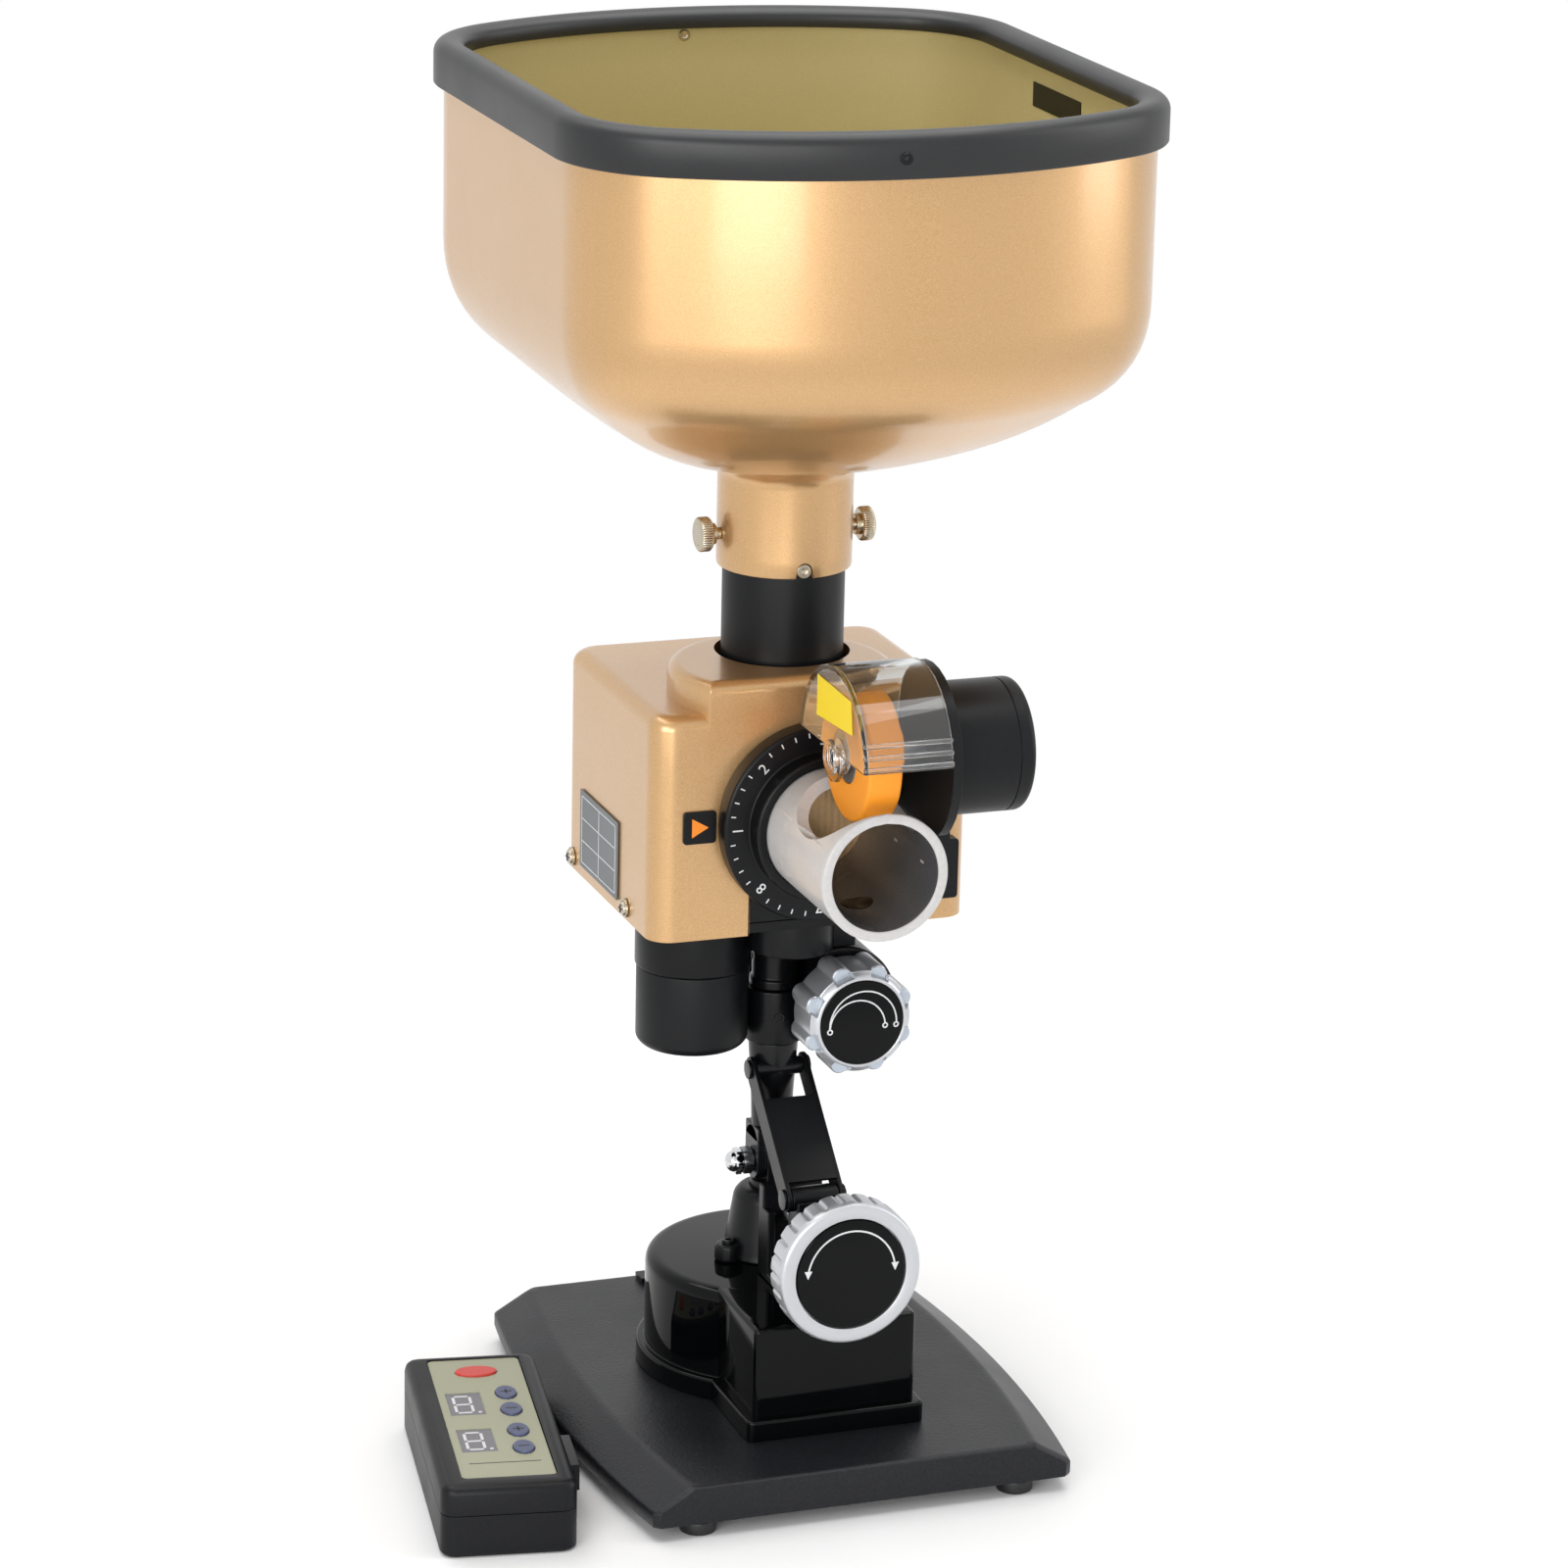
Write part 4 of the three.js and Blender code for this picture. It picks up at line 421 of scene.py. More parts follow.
def oval(half_x, half_y, middle=(0, 0)):
    """An outline of an ellipse, as a function of the inset."""
    angle = np.arange(64) * TURN / 64
    return lambda inset: np.column_stack([middle[0] + (half_x - inset) * np.cos(angle),
                                          middle[1] + (half_y - inset) * np.sin(angle)])


def edge(low, high, top, bottom=0.3):
    """A profile of (inset, height) whose bottom and top edges are rounded by those radii."""
    return rounded([(bottom * 2, low), (0, low), (0, high), (top * 2, high)],
                   [0, bottom, top, 0], 6)


def slab(outline, low, high, axis, soft=0.3):
    """An outline's flat plate with all edges rounded."""
    return loft(outline, edge(low, high, soft, soft), axis)


def aimed(part, at, towards):
    """A part drawn round +Z, moved so that its origin is at a point and +Z faces that way."""
    grid, faces = part
    ahead = np.asarray(towards, float) / np.linalg.norm(towards)
    side = np.cross((0, 0, 1) if abs(ahead[2]) < 0.9 else (1, 0, 0), ahead)
    side /= np.linalg.norm(side)
    return grid @ np.stack([side, np.cross(ahead, side), ahead]) + np.asarray(at, float), faces


def hexagon(angle, across):
    """How far a hexagon's edge is at each angle: half its width across flats over the cosine of the
    angle from the nearest flat's middle."""
    return across / 2 / np.cos(angle % (TURN / 6) - TURN / 12)


def socket_head(radius, height, across, depth):
    """A screw's round head, drawn round +Z, with a six-sided socket of that width and depth."""
    angle = np.arange(72) * TURN / 72
    six = hexagon(angle, across)
    rows = [(0, -0.5), (radius, -0.5), (radius, height - 0.3), (radius - 0.3, height),
            (six + 0.1, height), (six, height - 0.1), (six, height - depth), (0, height - depth - 0.3)]
    return sheet(np.stack([around("z", angle, reach, z) for reach, z in rows]))


def hex_nut(across, low, high, centre):
    """A six-sided nut on a line along X, its corners chamfered where they meet its faces."""
    turn = np.arange(96) * TURN / 96
    six = hexagon(turn, across)

    def outline(inset):
        reach = np.minimum(six, across / math.sqrt(3) - inset)
        return np.column_stack([centre[0] + reach * np.cos(turn), centre[1] + reach * np.sin(turn)])
    corner = across * (1 / math.sqrt(3) - 0.5)
    profile = [(corner, low), (0, low + corner / 2), (0, high - corner / 2), (corner, high)]
    return loft(outline, profile, "x")


def ribbon(spots, out, half, low, high):
    """A thin printed line along spots: half to each side of out, raised from low to high along -Y."""
    spots, out = np.asarray(spots, float), np.asarray(out, float)
    corners = [spots - out * half + (0, low, 0), spots + out * half + (0, low, 0),
               spots + out * half + (0, high, 0), spots - out * half + (0, high, 0)]
    grid = np.stack(corners, 1)
    ends = [np.repeat(grid[i].mean(0)[None], 4, 0)[None] for i in (0, -1)]
    return sheet(np.concatenate([ends[0], grid, ends[1]]))


def writing(name, words, size, spots, material, body):
    """Plain characters as thin solid letters: each word is centred at its spot's (x, z), turned by
    its angle and stands on the plane y."""
    made = []
    for word, (x, z, turn, y) in zip(words, spots):
        text = bpy.data.curves.new(name, "FONT")
        text.body = word
        text.size = size * MM
        text.align_x, text.align_y = "CENTER", "CENTER"
        text.extrude = 0.06 * MM
        holder = bpy.data.objects.new(name, text)
        mesh = bpy.data.meshes.new_from_object(holder)
        bpy.data.objects.remove(holder)
        upright = Matrix.Rotation(math.radians(90), 4, "X")
        spot = (Vector((x, y, z)) + Vector(ORIGIN)) * MM
        mesh.transform(Matrix.Translation(spot) @ Matrix.Rotation(turn, 4, "Y") @ upright)
        made.append(mesh)
    work = bmesh.new()
    for mesh in made:
        work.from_mesh(mesh)
        bpy.data.meshes.remove(mesh)
    mesh = bpy.data.meshes.new(name)
    work.to_mesh(mesh)
    work.free()
    return place(name, mesh, material, body)


# Base


def base_outline(side, end):
    """The plate's plan: straight ends, and sides that reach 89.1 mm at the ends and bulge 9.5 mm more
    between them by a parabola. Sides and ends are drawn in by their own amounts."""
    half = 110.5 - end
    share = np.linspace(-1, 1, 49)
    reach = 89.1 - side + 9.5 * (1 - share ** 2)
    right = rounded(np.vstack([[(0, -half)], np.column_stack([reach, share * half]), [(0, half)]]),
                    [3 if i in (1, 49) else 0 for i in range(51)], 1)
    right = right[1:-1]
    return np.vstack([right, -right])


def build_base():
    """Powder-coated plate with bevelled sides, its feet and power inlet, and the glossy cover."""
    profile = [(1.5, 1.5, 6), (0.4, 0.4, 6.4), (0, 0, 7.5), (0, 0, 12.3), (0.4, 0, 13.0), (1.2, 0, 13.5),
               (13.2, 0.2, 20.6), (14.6, 0.7, 21.6), (16, 1.5, 22.2), (18, 3, 22.2)]
    grid = capped([level(base_outline(side, end), z) for side, end, z in profile])
    remade("base_plate", [sheet(grid)], powder_black, 30)
    feet = [spin("z", drum(7.5, 0, 5.7, 1.2), (x, y), 40) for x in (-68.1, 68.1) for y in (-101, 101)]
    skin("rubber_feet", feet, rubber, "base",
         ["foot_front_left", "foot_front_right", "foot_rear_left", "foot_rear_right"])
    turret = rounded([(0, 22.5), (54.9, 22.5), (54.9, 31.2), (51.5, 31.2), (51.5, TURRET_TOP),
                      (0, TURRET_TOP)], [0, 0.5, 1.6, 0.6, 5.5, 0], 8)
    remade("turret_cover", [
        spin("z", turret, (0, AXIS_Y), 192),
        loft(round_box(34.7, 41.15, 2.2, (0, -30.65), 6), edge(22.5, TURRET_TOP - 0.05, 2.0)),
        loft(round_box(38.1, 42.85, 3.0, (0, -32.35), 6), edge(22.5, 31.15, 1.6)),
    ], piano_black, 30)
    dressed("power_inlet", satin_black, 0.3)


def build_hinge():
    """Post, its conical boot with two screwed lugs, and the hinge's bolt with a domed nut."""
    tab = capsule((AXIS_Y, PIVOT_Z), (AXIS_Y, 98), 8)
    remade("pivot_post", [spin("z", drum(8.4, 22.5, 102, 0.6), (0, AXIS_Y)),
                          slab(tab, -4, 4, "x", 0.5)], black_steel)
    boot = rounded([(8.8, 69.8), (19.5, 69.8), (18.9, 72.2), (15, 95.8), (12, 98.8), (8.8, 98.8)],
                   [0, 0.8, 2, 2.5, 1.5, 0])
    lug_spots = [(side * 20, 4.7) for side in (-1, 1)]
    lug = rounded([(0, 69.8), (5.8, 69.8), (5.4, 76.8), (0, 76.8)], 1.2)
    lugs = [spin("z", lug, spot, 48) for spot in lug_spots]
    remade("post_boot", [spin("z", boot, (0, AXIS_Y)), *lugs], satin_black)
    skin("boot_screws", [aimed(socket_head(2.6, 1.6, 2.6, 1.2), (*spot, 76.8), (0, 0, 1))
                         for spot in lug_spots], black_steel, "base")
    centre = (AXIS_Y, PIVOT_Z)
    remade("pivot_bolt", [hex_nut(10, 8.8, 12.8, centre), spin("x", drum(3, -16.3, 9.8), centre, 40)],
           steel)
    remade("pivot_nut", [hex_nut(10, -13.1, -8.8, centre)], steel)
    turn = np.linspace(0, TURN / 4, 12)
    cap = np.column_stack([4.4 * np.cos(turn), -16.4 - 3.6 * np.sin(turn)])
    remade("acorn_nut", [hex_nut(10, -16.4, -13.4, centre),
                         spin("x", np.vstack([[(0, -15.4), (4.4, -15.4)], cap]), centre, 64)],
           chrome)


def build_neck():
    """Forked neck with a clamping collar and its set screws."""
    column = rounded([(0, 125), (8.4, 125), (8.8, 140.5), (10.4, NECK_TOP), (7, NECK_TOP), (7, 175.5),
                      (0, 175.5)], [0, 0.4, 6, 0.6, 0, 0.4, 0])
    tab = capsule((AXIS_Y, PIVOT_Z), (AXIS_Y, 118), 8)
    cheeks = [slab(tab, low, low + 4, "x", 0.5) for low in (-8.5, 4.5)]
    yoke = slab(round_box(8, 3.1, 0.6, (AXIS_Y, 123)), -8.5, 8.5, "x", 0.6)
    lug = spin("x", drum(3.7, -9.9, 9.9, 0.3), UPPER_PIN_AT, 48)
    remade("neck_fork", [spin("z", column, (0, AXIS_Y)), *cheeks, yoke, lug], black_steel)
    collar = rounded([(7.3, 163.8), (12.1, 163.8), (12.1, 186.8), (7.3, 186.8)], 0.7)
    remade("neck_collar", [spin("z", np.vstack([collar, collar[:1]]), (0, AXIS_Y))],
           black_anodised)
    screws = []
    for x, y in ((-1.7, -11.98), (-11.1, 4.8)):
        screws.append(aimed(socket_head(2.3, 0.2, 2.4, 1.4), (x, AXIS_Y + y, 176), (x, y, 0)))
    skin("collar_screws", screws, black_steel, "neck")
    remade("link_pin_upper", [headed_pin(2.6, UPPER_PIN_AT)], black_steel)


def headed_pin(radius, centre):
    """A pin across the link with a flat head at each end."""
    head = radius + 1.4
    path = rounded([(0, -13.4), (head, -13.4), (head, -12.5), (radius, -12.5), (radius, 12.5), (head, 12.5),
                    (head, 13.4), (0, 13.4)], [0, 0.35, 0.1, 0, 0, 0.1, 0.35, 0])
    return spin("x", path, centre, 48)


def build_elevation():
    """Cradle, nut block and link. The link's web is drawn along the line between its pins."""
    dressed("screw_cradle", satin_black, 0.7)
    remade("nut_block", [slab(round_box(8.5, 6, 1.2, (0, NUT_AT[0])), 86, NUT_AT[1], "z", 0.6),
                         spin("x", drum(5, -9.9, 9.9, 0.4), NUT_AT, 64)], satin_black)
    remade("link_pin_lower", [headed_pin(3, NUT_AT)], black_steel)
    low, high = np.array(NUT_AT), np.array(UPPER_PIN_AT)
    length = np.linalg.norm(high - low)
    run = (high - low) / length
    front = np.array([-run[1], run[0]])

    def web(inset):
        near, far = 0.085 * length + inset, 0.72 * length - inset
        corners = [(near, 5.2), (far, 5.2), (far, 3.4), (near, 3.4)]
        return np.array([low + run * ahead + front * out for ahead, out in corners])
    sides = [slab(capsule(low, high, 5.2), start, start + 1.8, "x", 0.4) for start in (-12.2, 10.4)]
    remade("link", [loft(web, [(0.3, -11), (0, -10.7), (0, 10.7), (0.3, 11)], "x"), *sides],
           satin_black)


def build_loop_knob():
    """Threaded screw and the front knob with its glossy cap. The thread's radius falls by 0.9 mm as
    a triangle wave of 2 mm pitch. The knob's rim has 26 narrow grooves, 1.1 * |cos(13 * angle)| ** 18
    deep, that fade out towards its edges."""
    centre = (0, SCREW_Z)
    along_y = np.linspace(-80, -13.5, 500)
    angle = np.arange(48) * TURN / 48
    phase = (along_y[:, None] / 2 + angle[None, :] / TURN) % 1
    radius = 4 - 0.9 * np.abs(2 * phase - 1)
    thread = around("y", angle, radius, along_y[:, None], centre)
    remade("lead_screw", [sheet(thread)], steel, 80)
    grooves = 26
    angle = np.arange(grooves * 16) * TURN / (grooves * 16)
    groove = 1.1 * np.abs(np.cos(grooves / 2 * angle)) ** 18
    profile = [(14.0, 0, -79.5), (14.0, 0, -73), (3, 0, -73), (1.2, 0.6, -73.4), (0.2, 1, -74.6), (0, 1, -76),
               (0, 1, -83.0), (0, 0.9, -83.8), (0.1, 0.3, -84.6), (0.3, 0, -85.2), (0.6, 0, -86.2),
               (1.1, 0, -86.8), (1.9, 0, -87), (6.4, 0, -87), (6.55, 0, -86.9), (6.7, 0, -86.2),
               (6.8, 0, -84.4), (14, 0, -84.4)]
    rim = np.stack([around("y", angle, 30.2 - inset - groove * depth, y, centre)
                    for inset, depth, y in profile])
    hub = spin("y", rounded([(4.3, -74), (9, -74), (9, -66.5), (4.3, -66.5)], 0.6), centre)
    remade("loop_knob", [sheet(rim, closed=True), hub], silver)
    remade("loop_knob_cap", [spin("y", dome(23.1, -84.6, -87, 1.4), centre)], piano_black)
    marks = [arc_on_dome(centre, 0, 0, 18.6, 8, 172, 0.35, 22.5, -87, 1.4)]
    for side in (-1, 1):
        tip = np.array([(side * 18.5 - 1.6, SCREW_Z + 3.4), (side * 18.5 + 1.6, SCREW_Z + 3.4),
                        (side * 18.6, SCREW_Z)])
        marks.append(loft(lambda inset, tip=tip: tip, [(0, -87.2), (0, -87.65)], "y"))
    skin("loop_knob_marks", marks, white_ink, "loop_knob")


def arc_on_dome(centre, x, z, radius, start, end, half, reach, face, height):
    """A printed arc on a domed cap: round (x, z) from the cap's centre at that radius, between two
    angles in degrees, laid on face - height * (1 - (distance / reach) ** 2)."""
    turn = np.radians(np.linspace(start, end, 97))
    across, up = x + radius * np.cos(turn), z + radius * np.sin(turn)
    y = face - height * (1 - (np.hypot(across, up) / reach) ** 2)
    spots = np.column_stack([centre[0] + across, y, centre[1] + up])
    out = np.column_stack([np.cos(turn), 0 * turn, np.sin(turn)])
    return ribbon(spots, out, half, 0.25, -0.07)


def dome(radius, back, face, height):
    """The path of a disc with a rounded edge whose front swells towards -Y by a shallow parabola:
    face - height * (1 - share ** 2), where share goes from 1 at the edge to 0 in the middle."""
    share = np.linspace(1, 0, 24)
    swell = np.column_stack([(radius - 0.6) * share, face - height * (1 - share ** 2)])
    rim = [(0, back), (radius, back), (radius, face + 0.6), (radius - 0.2, face + 0.15)]
    return np.vstack([rim, swell])


# Head


def build_head_base():
    """Pan hub, base plate, and the sweep gearbox: a drum cut flat on its left side."""
    shaft = rounded([(0, 176.6), (6.6, 176.6), (6.6, 187.1), (10.4, 187.1), (10.4, 190.6), (9.5, 191.4),
                     (9.5, 210), (0, 210)], [0, 0.4, 0, 0.4, 0.5, 0.4, 0, 0])
    remade("pan_hub", [
        spin("z", shaft, (0, AXIS_Y)),
        slab(capsule((0, -8), (0, AXIS_Y), 17.5, 40), HUB_LOW, HUB_TOP, "z", 0.8),
        slab(round_box(13, 22.5, 1, (13, 8)), HUB_LOW, HUB_TOP, "z", 0.6),
    ], black_anodised)
    skin("shaft_screw", [aimed(socket_head(2.3, 0.2, 2.4, 1.4), (-9.5, AXIS_Y, 200), (-1, 0, 0))],
         black_steel, "head")
    dressed("head_plate", satin_black, 0.4)

    def flattened(inset):
        radius = 24.1 - inset
        reach = math.acos((13 + inset - KNOB_X) / radius)
        turn = np.linspace(-reach, reach, 96)
        return np.column_stack([KNOB_X + radius * np.cos(turn), KNOB_Z + radius * np.sin(turn)])
    remade("sweep_gearbox", [slab(flattened, -14.5, 30.5, "y", 1.5),
                             slab(round_box(13, 2.25, 0.8, (7, 26.75)), 178.8, 208.8, "z", 0.6)],
           satin_black)
    dressed("angle_shaft", steel, 0.3)


def build_angle_knob():
    """The sweep knob. Its plan is a circle of 21.6 mm and eight round lobes of 4.1 mm centred 20 mm
    out, joined by a soft maximum: log(exp(2.5 * lobe) + exp(2.5 * root)) / 2.5. Its face curves back
    by a parabola outside 18.3 mm. The lobes' faces are flat and lie further back, with eased steps
    at their edges, and a pad lies on each, paler and bluer than the knob as a painted reflection."""
    count, pitch_radius, lobe_radius, root, blend = 8, 20, 4.1, 21.6, 2.5
    angle = np.arange(count * 60) * TURN / (count * 60)
    local = ((angle * count / TURN) % 1 - 0.5) * TURN / count
    across = pitch_radius * np.sin(local)
    reach = np.sqrt(np.clip(lobe_radius ** 2 - across ** 2, 0, None))
    lobe = np.where(np.abs(across) < lobe_radius, pitch_radius * np.cos(local) + reach, 0)
    plan = np.log(np.exp(blend * (lobe - root)) + 1) / blend + root

    def ramp(value, width):
        share = np.clip(value / width, 0, 1)
        return share * share * (3 - 2 * share)

    def face(radius):
        ring = -39.4 + 3.6 * np.clip((radius - 18.3) / 3.6, 0, None) ** 2
        gap = np.hypot(radius * np.cos(local) - pitch_radius, radius * np.sin(local))
        return ring + (-35.4 - ring) * ramp(lobe_radius - gap, 0.5) * ramp(radius - 19.2, 0.8)

    rows = [(plan - 15, -28), (plan - 15, -16.4), (plan - 1.6, -16.4), (plan - 0.4, -17), (plan, -18),
            (plan, face(plan - 0.5) + 0.8), (plan - 0.15, face(plan - 0.5) + 0.25)]
    for share in np.linspace(1, 0, 28):
        radius = 18.3 + (plan - 18.8) * share
        rows.append((radius, face(radius)))
    rows += [(18, -39.2), (17.95, -37), (6, -37)]
    centre = (KNOB_X, KNOB_Z)
    grid = np.stack([around("y", angle, radius, y, centre) for radius, y in rows])
    remade("angle_knob", [sheet(grid, closed=True)], silver)
    # Thin discs on the lobes' flat faces carry the pads' painted reflection
    pads = []
    for i in range(count):
        turn = TURN * (i + 0.5) / count
        spot = (KNOB_X + 20.3 * math.cos(turn), KNOB_Z + 20.3 * math.sin(turn))
        pads.append(spin("y", rounded([(0, -34.8), (3.4, -34.8), (3.4, -35.7), (0, -35.8)], 0.25), spot, 40))
    skin("angle_knob_pads", pads, pad_sheen_silver, "angle_knob")
    remade("angle_knob_cap", [spin("y", dome(17.9, -37, -39.4, 1.1), centre)], piano_black)
    cap = (17.3, -39.4, 1.1)
    skin("angle_knob_marks", [
        arc_on_dome(centre, 0.35, -0.9, 14.4, 0, 183, 0.3, *cap),
        arc_on_dome(centre, -2.1, -1.9, 11.8, 5, 179, 0.3, *cap),
        *[arc_on_dome(centre, x, z, 0.95, 0, 360, 0.3, *cap)
          for x, z in ((-13.9, -2.7), (14.6, -1.9), (9.7, -1.7))],
    ], white_ink, "angle_knob")


def ray_box(angle, inset, corner):
    """How far a ray from the tube's axis goes, at each angle, to the cover's rounded rectangle drawn
    in by the inset."""
    low_y, high_y = HEAD_FRONT + inset, HEAD_REAR - inset
    middle = (0, (high_y + low_y) / 2)
    outline = round_box(HEAD_HALF - inset, (high_y - low_y) / 2, corner, middle, 40)(0)
    outline = np.vstack([outline, outline[:1]]) - (0, AXIS_Y)
    share = np.linspace(0, 1, 40, endpoint=False)[:, None, None]
    fine = (outline[:-1] + (outline[1:] - outline[:-1]) * share).reshape(-1, 2)
    heading = np.arctan2(fine[:, 1], fine[:, 0]) % TURN
    order = np.argsort(heading)
    return np.interp(angle % TURN, heading[order], np.hypot(*fine[order].T), period=TURN)


def build_head_cover():
    """Lacquered cover: a rounded box, given as rays from the tube's axis, with thin walls, a notch
    at its foot and a hole for the tube. Each row of rays is the box at one inset and height."""
    angle = np.arange(720) * TURN / 720
    notch = [math.atan2(HEAD_FRONT - AXIS_Y, x) % TURN for x in (NOTCH_LEFT, NOTCH_RIGHT)]
    corners = [math.atan2(y - AXIS_Y, x) % TURN for x in (-HEAD_HALF, HEAD_HALF)
               for y in (HEAD_FRONT, HEAD_REAR)]
    angle = np.unique(np.concatenate([angle, notch, corners]))
    turn = np.linspace(0, TURN / 4, 9)
    outer = [(0, HEAD_LOW), (0, NOTCH_TOP), (0, 260), (0, 290)]
    outer += [(6 * (1 - math.cos(t)), SHOULDER_Z - 6 + 6 * math.sin(t)) for t in turn]
    outer += [(8, SHOULDER_Z)]
    rows = [ray_box(angle, inset, max(10 - inset * 0.6, 4)) for inset, z in outer]
    rows += [np.full(len(angle), TUBE_HOLE), np.full(len(angle), TUBE_HOLE)]
    inner = [(10, 314.5), (2.5, 309), (2.5, NOTCH_TOP), (2.5, HEAD_LOW)]
    rows += [ray_box(angle, inset, max(9 - inset * 0.6, 3)) for inset, z in inner]
    heights = [z for inset, z in outer] + [SHOULDER_Z, 314.5] + [z for inset, z in inner]
    reach = np.stack(rows)
    grid, faces = sheet(around("z", angle, reach, np.array(heights)[:, None], (0, AXIS_Y)), closed=True)
    # The notch: its faces in the front wall go, and a lintel and two jambs close the wall's thickness
    middle = grid.reshape(-1, 3)[faces].mean(1)
    gone = ((middle[:, 1] < -20) & (middle[:, 0] > NOTCH_LEFT) & (middle[:, 0] < NOTCH_RIGHT)
            & (middle[:, 2] < NOTCH_TOP))
    faces = faces[~gone]
    columns = len(angle)
    last = len(rows) - 1
    inside = np.flatnonzero((angle >= notch[0] - 1e-9) & (angle <= notch[1] + 1e-9))
    lintel = [(columns + a, columns + b, (last - 1) * columns + b, (last - 1) * columns + a)
              for a, b in zip(inside[:-1], inside[1:])]
    jambs = [(side, columns + side, (last - 1) * columns + side, last * columns + side)
             for side in (inside[0], inside[-1])]
    remade("head_cover", [(grid, np.vstack([faces, lintel, jambs]))], gold, 30)


def build_crown():
    """The cover's crown: a circle cut flat at the front, given as rays from the tube's axis. Each ray
    climbs the wall, rounds the top edge and crosses to the hole, or stops where the hole cuts it.
    The circle's middle is at (x, y) from that axis, so a ray meets it at toward + sqrt(toward ** 2
    - (x ** 2 + y ** 2) + radius ** 2), where toward is x * cos(angle) + y * sin(angle)."""
    x, y, radius = -6, -16.5, 46
    angle = np.arange(720) * TURN / 720
    turn = np.linspace(0, TURN / 4, 13)
    profile = [(0, 311)] + [(5 * (1 - math.cos(t)), CROWN_Z - 5 * (1 - math.sin(t))) for t in turn]
    profile += [(6.5, CROWN_Z)]
    reach, height = [], []
    for inset, z in profile:
        toward = np.cos(angle) * x + np.sin(angle) * y
        circle = toward + np.sqrt(toward ** 2 - (x ** 2 + y ** 2) + (radius - inset) ** 2)
        with np.errstate(divide="ignore"):
            front = np.where(np.sin(angle) < 0, (HEAD_FRONT + inset - AXIS_Y) / np.sin(angle), np.inf)
        reach.append(np.minimum(circle, front))
        height.append(np.full(len(angle), float(z)))
    reach, height = np.stack(reach), np.stack(height)
    for column in np.flatnonzero((reach < TUBE_HOLE).any(0)):
        cut = np.interp(-TUBE_HOLE, -reach[:, column], height[:, column])
        hidden = reach[:, column] < TUBE_HOLE
        reach[hidden, column] = TUBE_HOLE
        height[hidden, column] = cut
    hole = np.full(len(angle), TUBE_HOLE)
    reach = np.vstack([reach, hole, hole, hole + 8])
    height = np.vstack([height, height[-1], np.full(len(angle), 311.0), np.full(len(angle), 311.0)])
    grid = around("z", angle, reach, height, (0, AXIS_Y))
    skin("head_cover_crown", [sheet(grid, closed=True)], gold, "head", sharp=30)


def build_cover_parts():
    """The bare pointer plate with its triangle, the bare rating plate, and its two screws, whose cross slots
    are dark bars of painted shade.
    """
    remade("pointer_plate", [loft(round_box(6.9, 6.7, 1.5, (-48.4, MUZZLE_Z)), [
        (0, -31.3), (0, -31.9), (0.3, -32.1)], "y")], satin_black)
    arrow = np.array([(-51.8, MUZZLE_Z - 4), (-44.8, MUZZLE_Z), (-51.8, MUZZLE_Z + 4)])
    skin("pointer_arrow", [loft(lambda inset: arrow, [(0, -31.9), (0, -32.2)], "y")], orange_ink, "head")
    dressed("rating_plate", label_metal, 0.15)
    bars = [(0.2, 14.4, (y, 245)) for y in (14.5, 36, 58.5)]
    bars += [(22.2, 0.2, (36.5, z)) for z in (230.8, 240.2, 249.8, 259.2)]
    skin("rating_plate_lines", [slab(round_box(half_y, half_z, 0.1, middle), -68.62, -68.4, "x", 0.02)
                                for half_y, half_z, middle in bars], white_ink, "head")
    screws, slots = [], []
    for spot in ((2.3, 228.4), (73, 228.4)):
        screws += [spin("x", drum(4, -68.7, -67.8, 0.2), spot, 48),
                   spin("x", rounded([(0, -70.2), (3, -69.7), (3.1, -68.4), (0, -68.4)], [0, 0.8, 0, 0]),
                        spot, 48)]
        # Dark bars on each screw head: painted shade where the cross slot lies
        slots += [slab(round_box(half_y, half_z, 0.1, spot), -70.3, -69.4, "x", 0.05)
                  for half_y, half_z in ((1.7, 0.3), (0.3, 1.7))]
    skin("cover_screws_look", screws, nickel, "head", ["cover_screw_front", "cover_screw_rear"])
    skin("cover_screw_slot_shade", slots, dark_ink_and_slot_shade, "head")


def build_feed():
    """Feed block with its star wheel, the geared motor below, and the tube up to the hopper with
    the screw that keys the hopper's collar."""
    dressed("feed_block", satin_black, 0.4)
    dressed("star_wheel", foam, 0.4)
    dressed("star_shaft", steel, 0.2)
    remade("feed_gearbox", [spin("z", drum(23.8, 200, HUB_TOP, 0.8), FEED_AT)],
           black_anodised)
    motor = rounded([(0, 166.9), (12, 166.9), (12, 165.7), (20.6, 165.7), (23.1, 168.4), (23.1, 199.7),
                     (0, 199.7)], [0, 0.3, 0.3, 1.5, 1.5, 0.6, 0])
    remade("feed_motor", [spin("z", motor, FEED_AT)], casing_black)
    tube = [(22.3, 296.3), (24.8, 296.3), (24.8, 394.5), (22.3, 394.5), (22.3, 296.3)]
    remade("feed_tube", [spin("z", rounded(tube, 0.5), (0, AXIS_Y), 128)],
           casing_black)
    skin("tube_screw", [aimed(socket_head(3, 2.5, 2.8, 1.5), (KEY_X, AXIS_Y - 24.7, KEY_Z), (0, -1, 0))],
         nickel, "head")


# Hopper


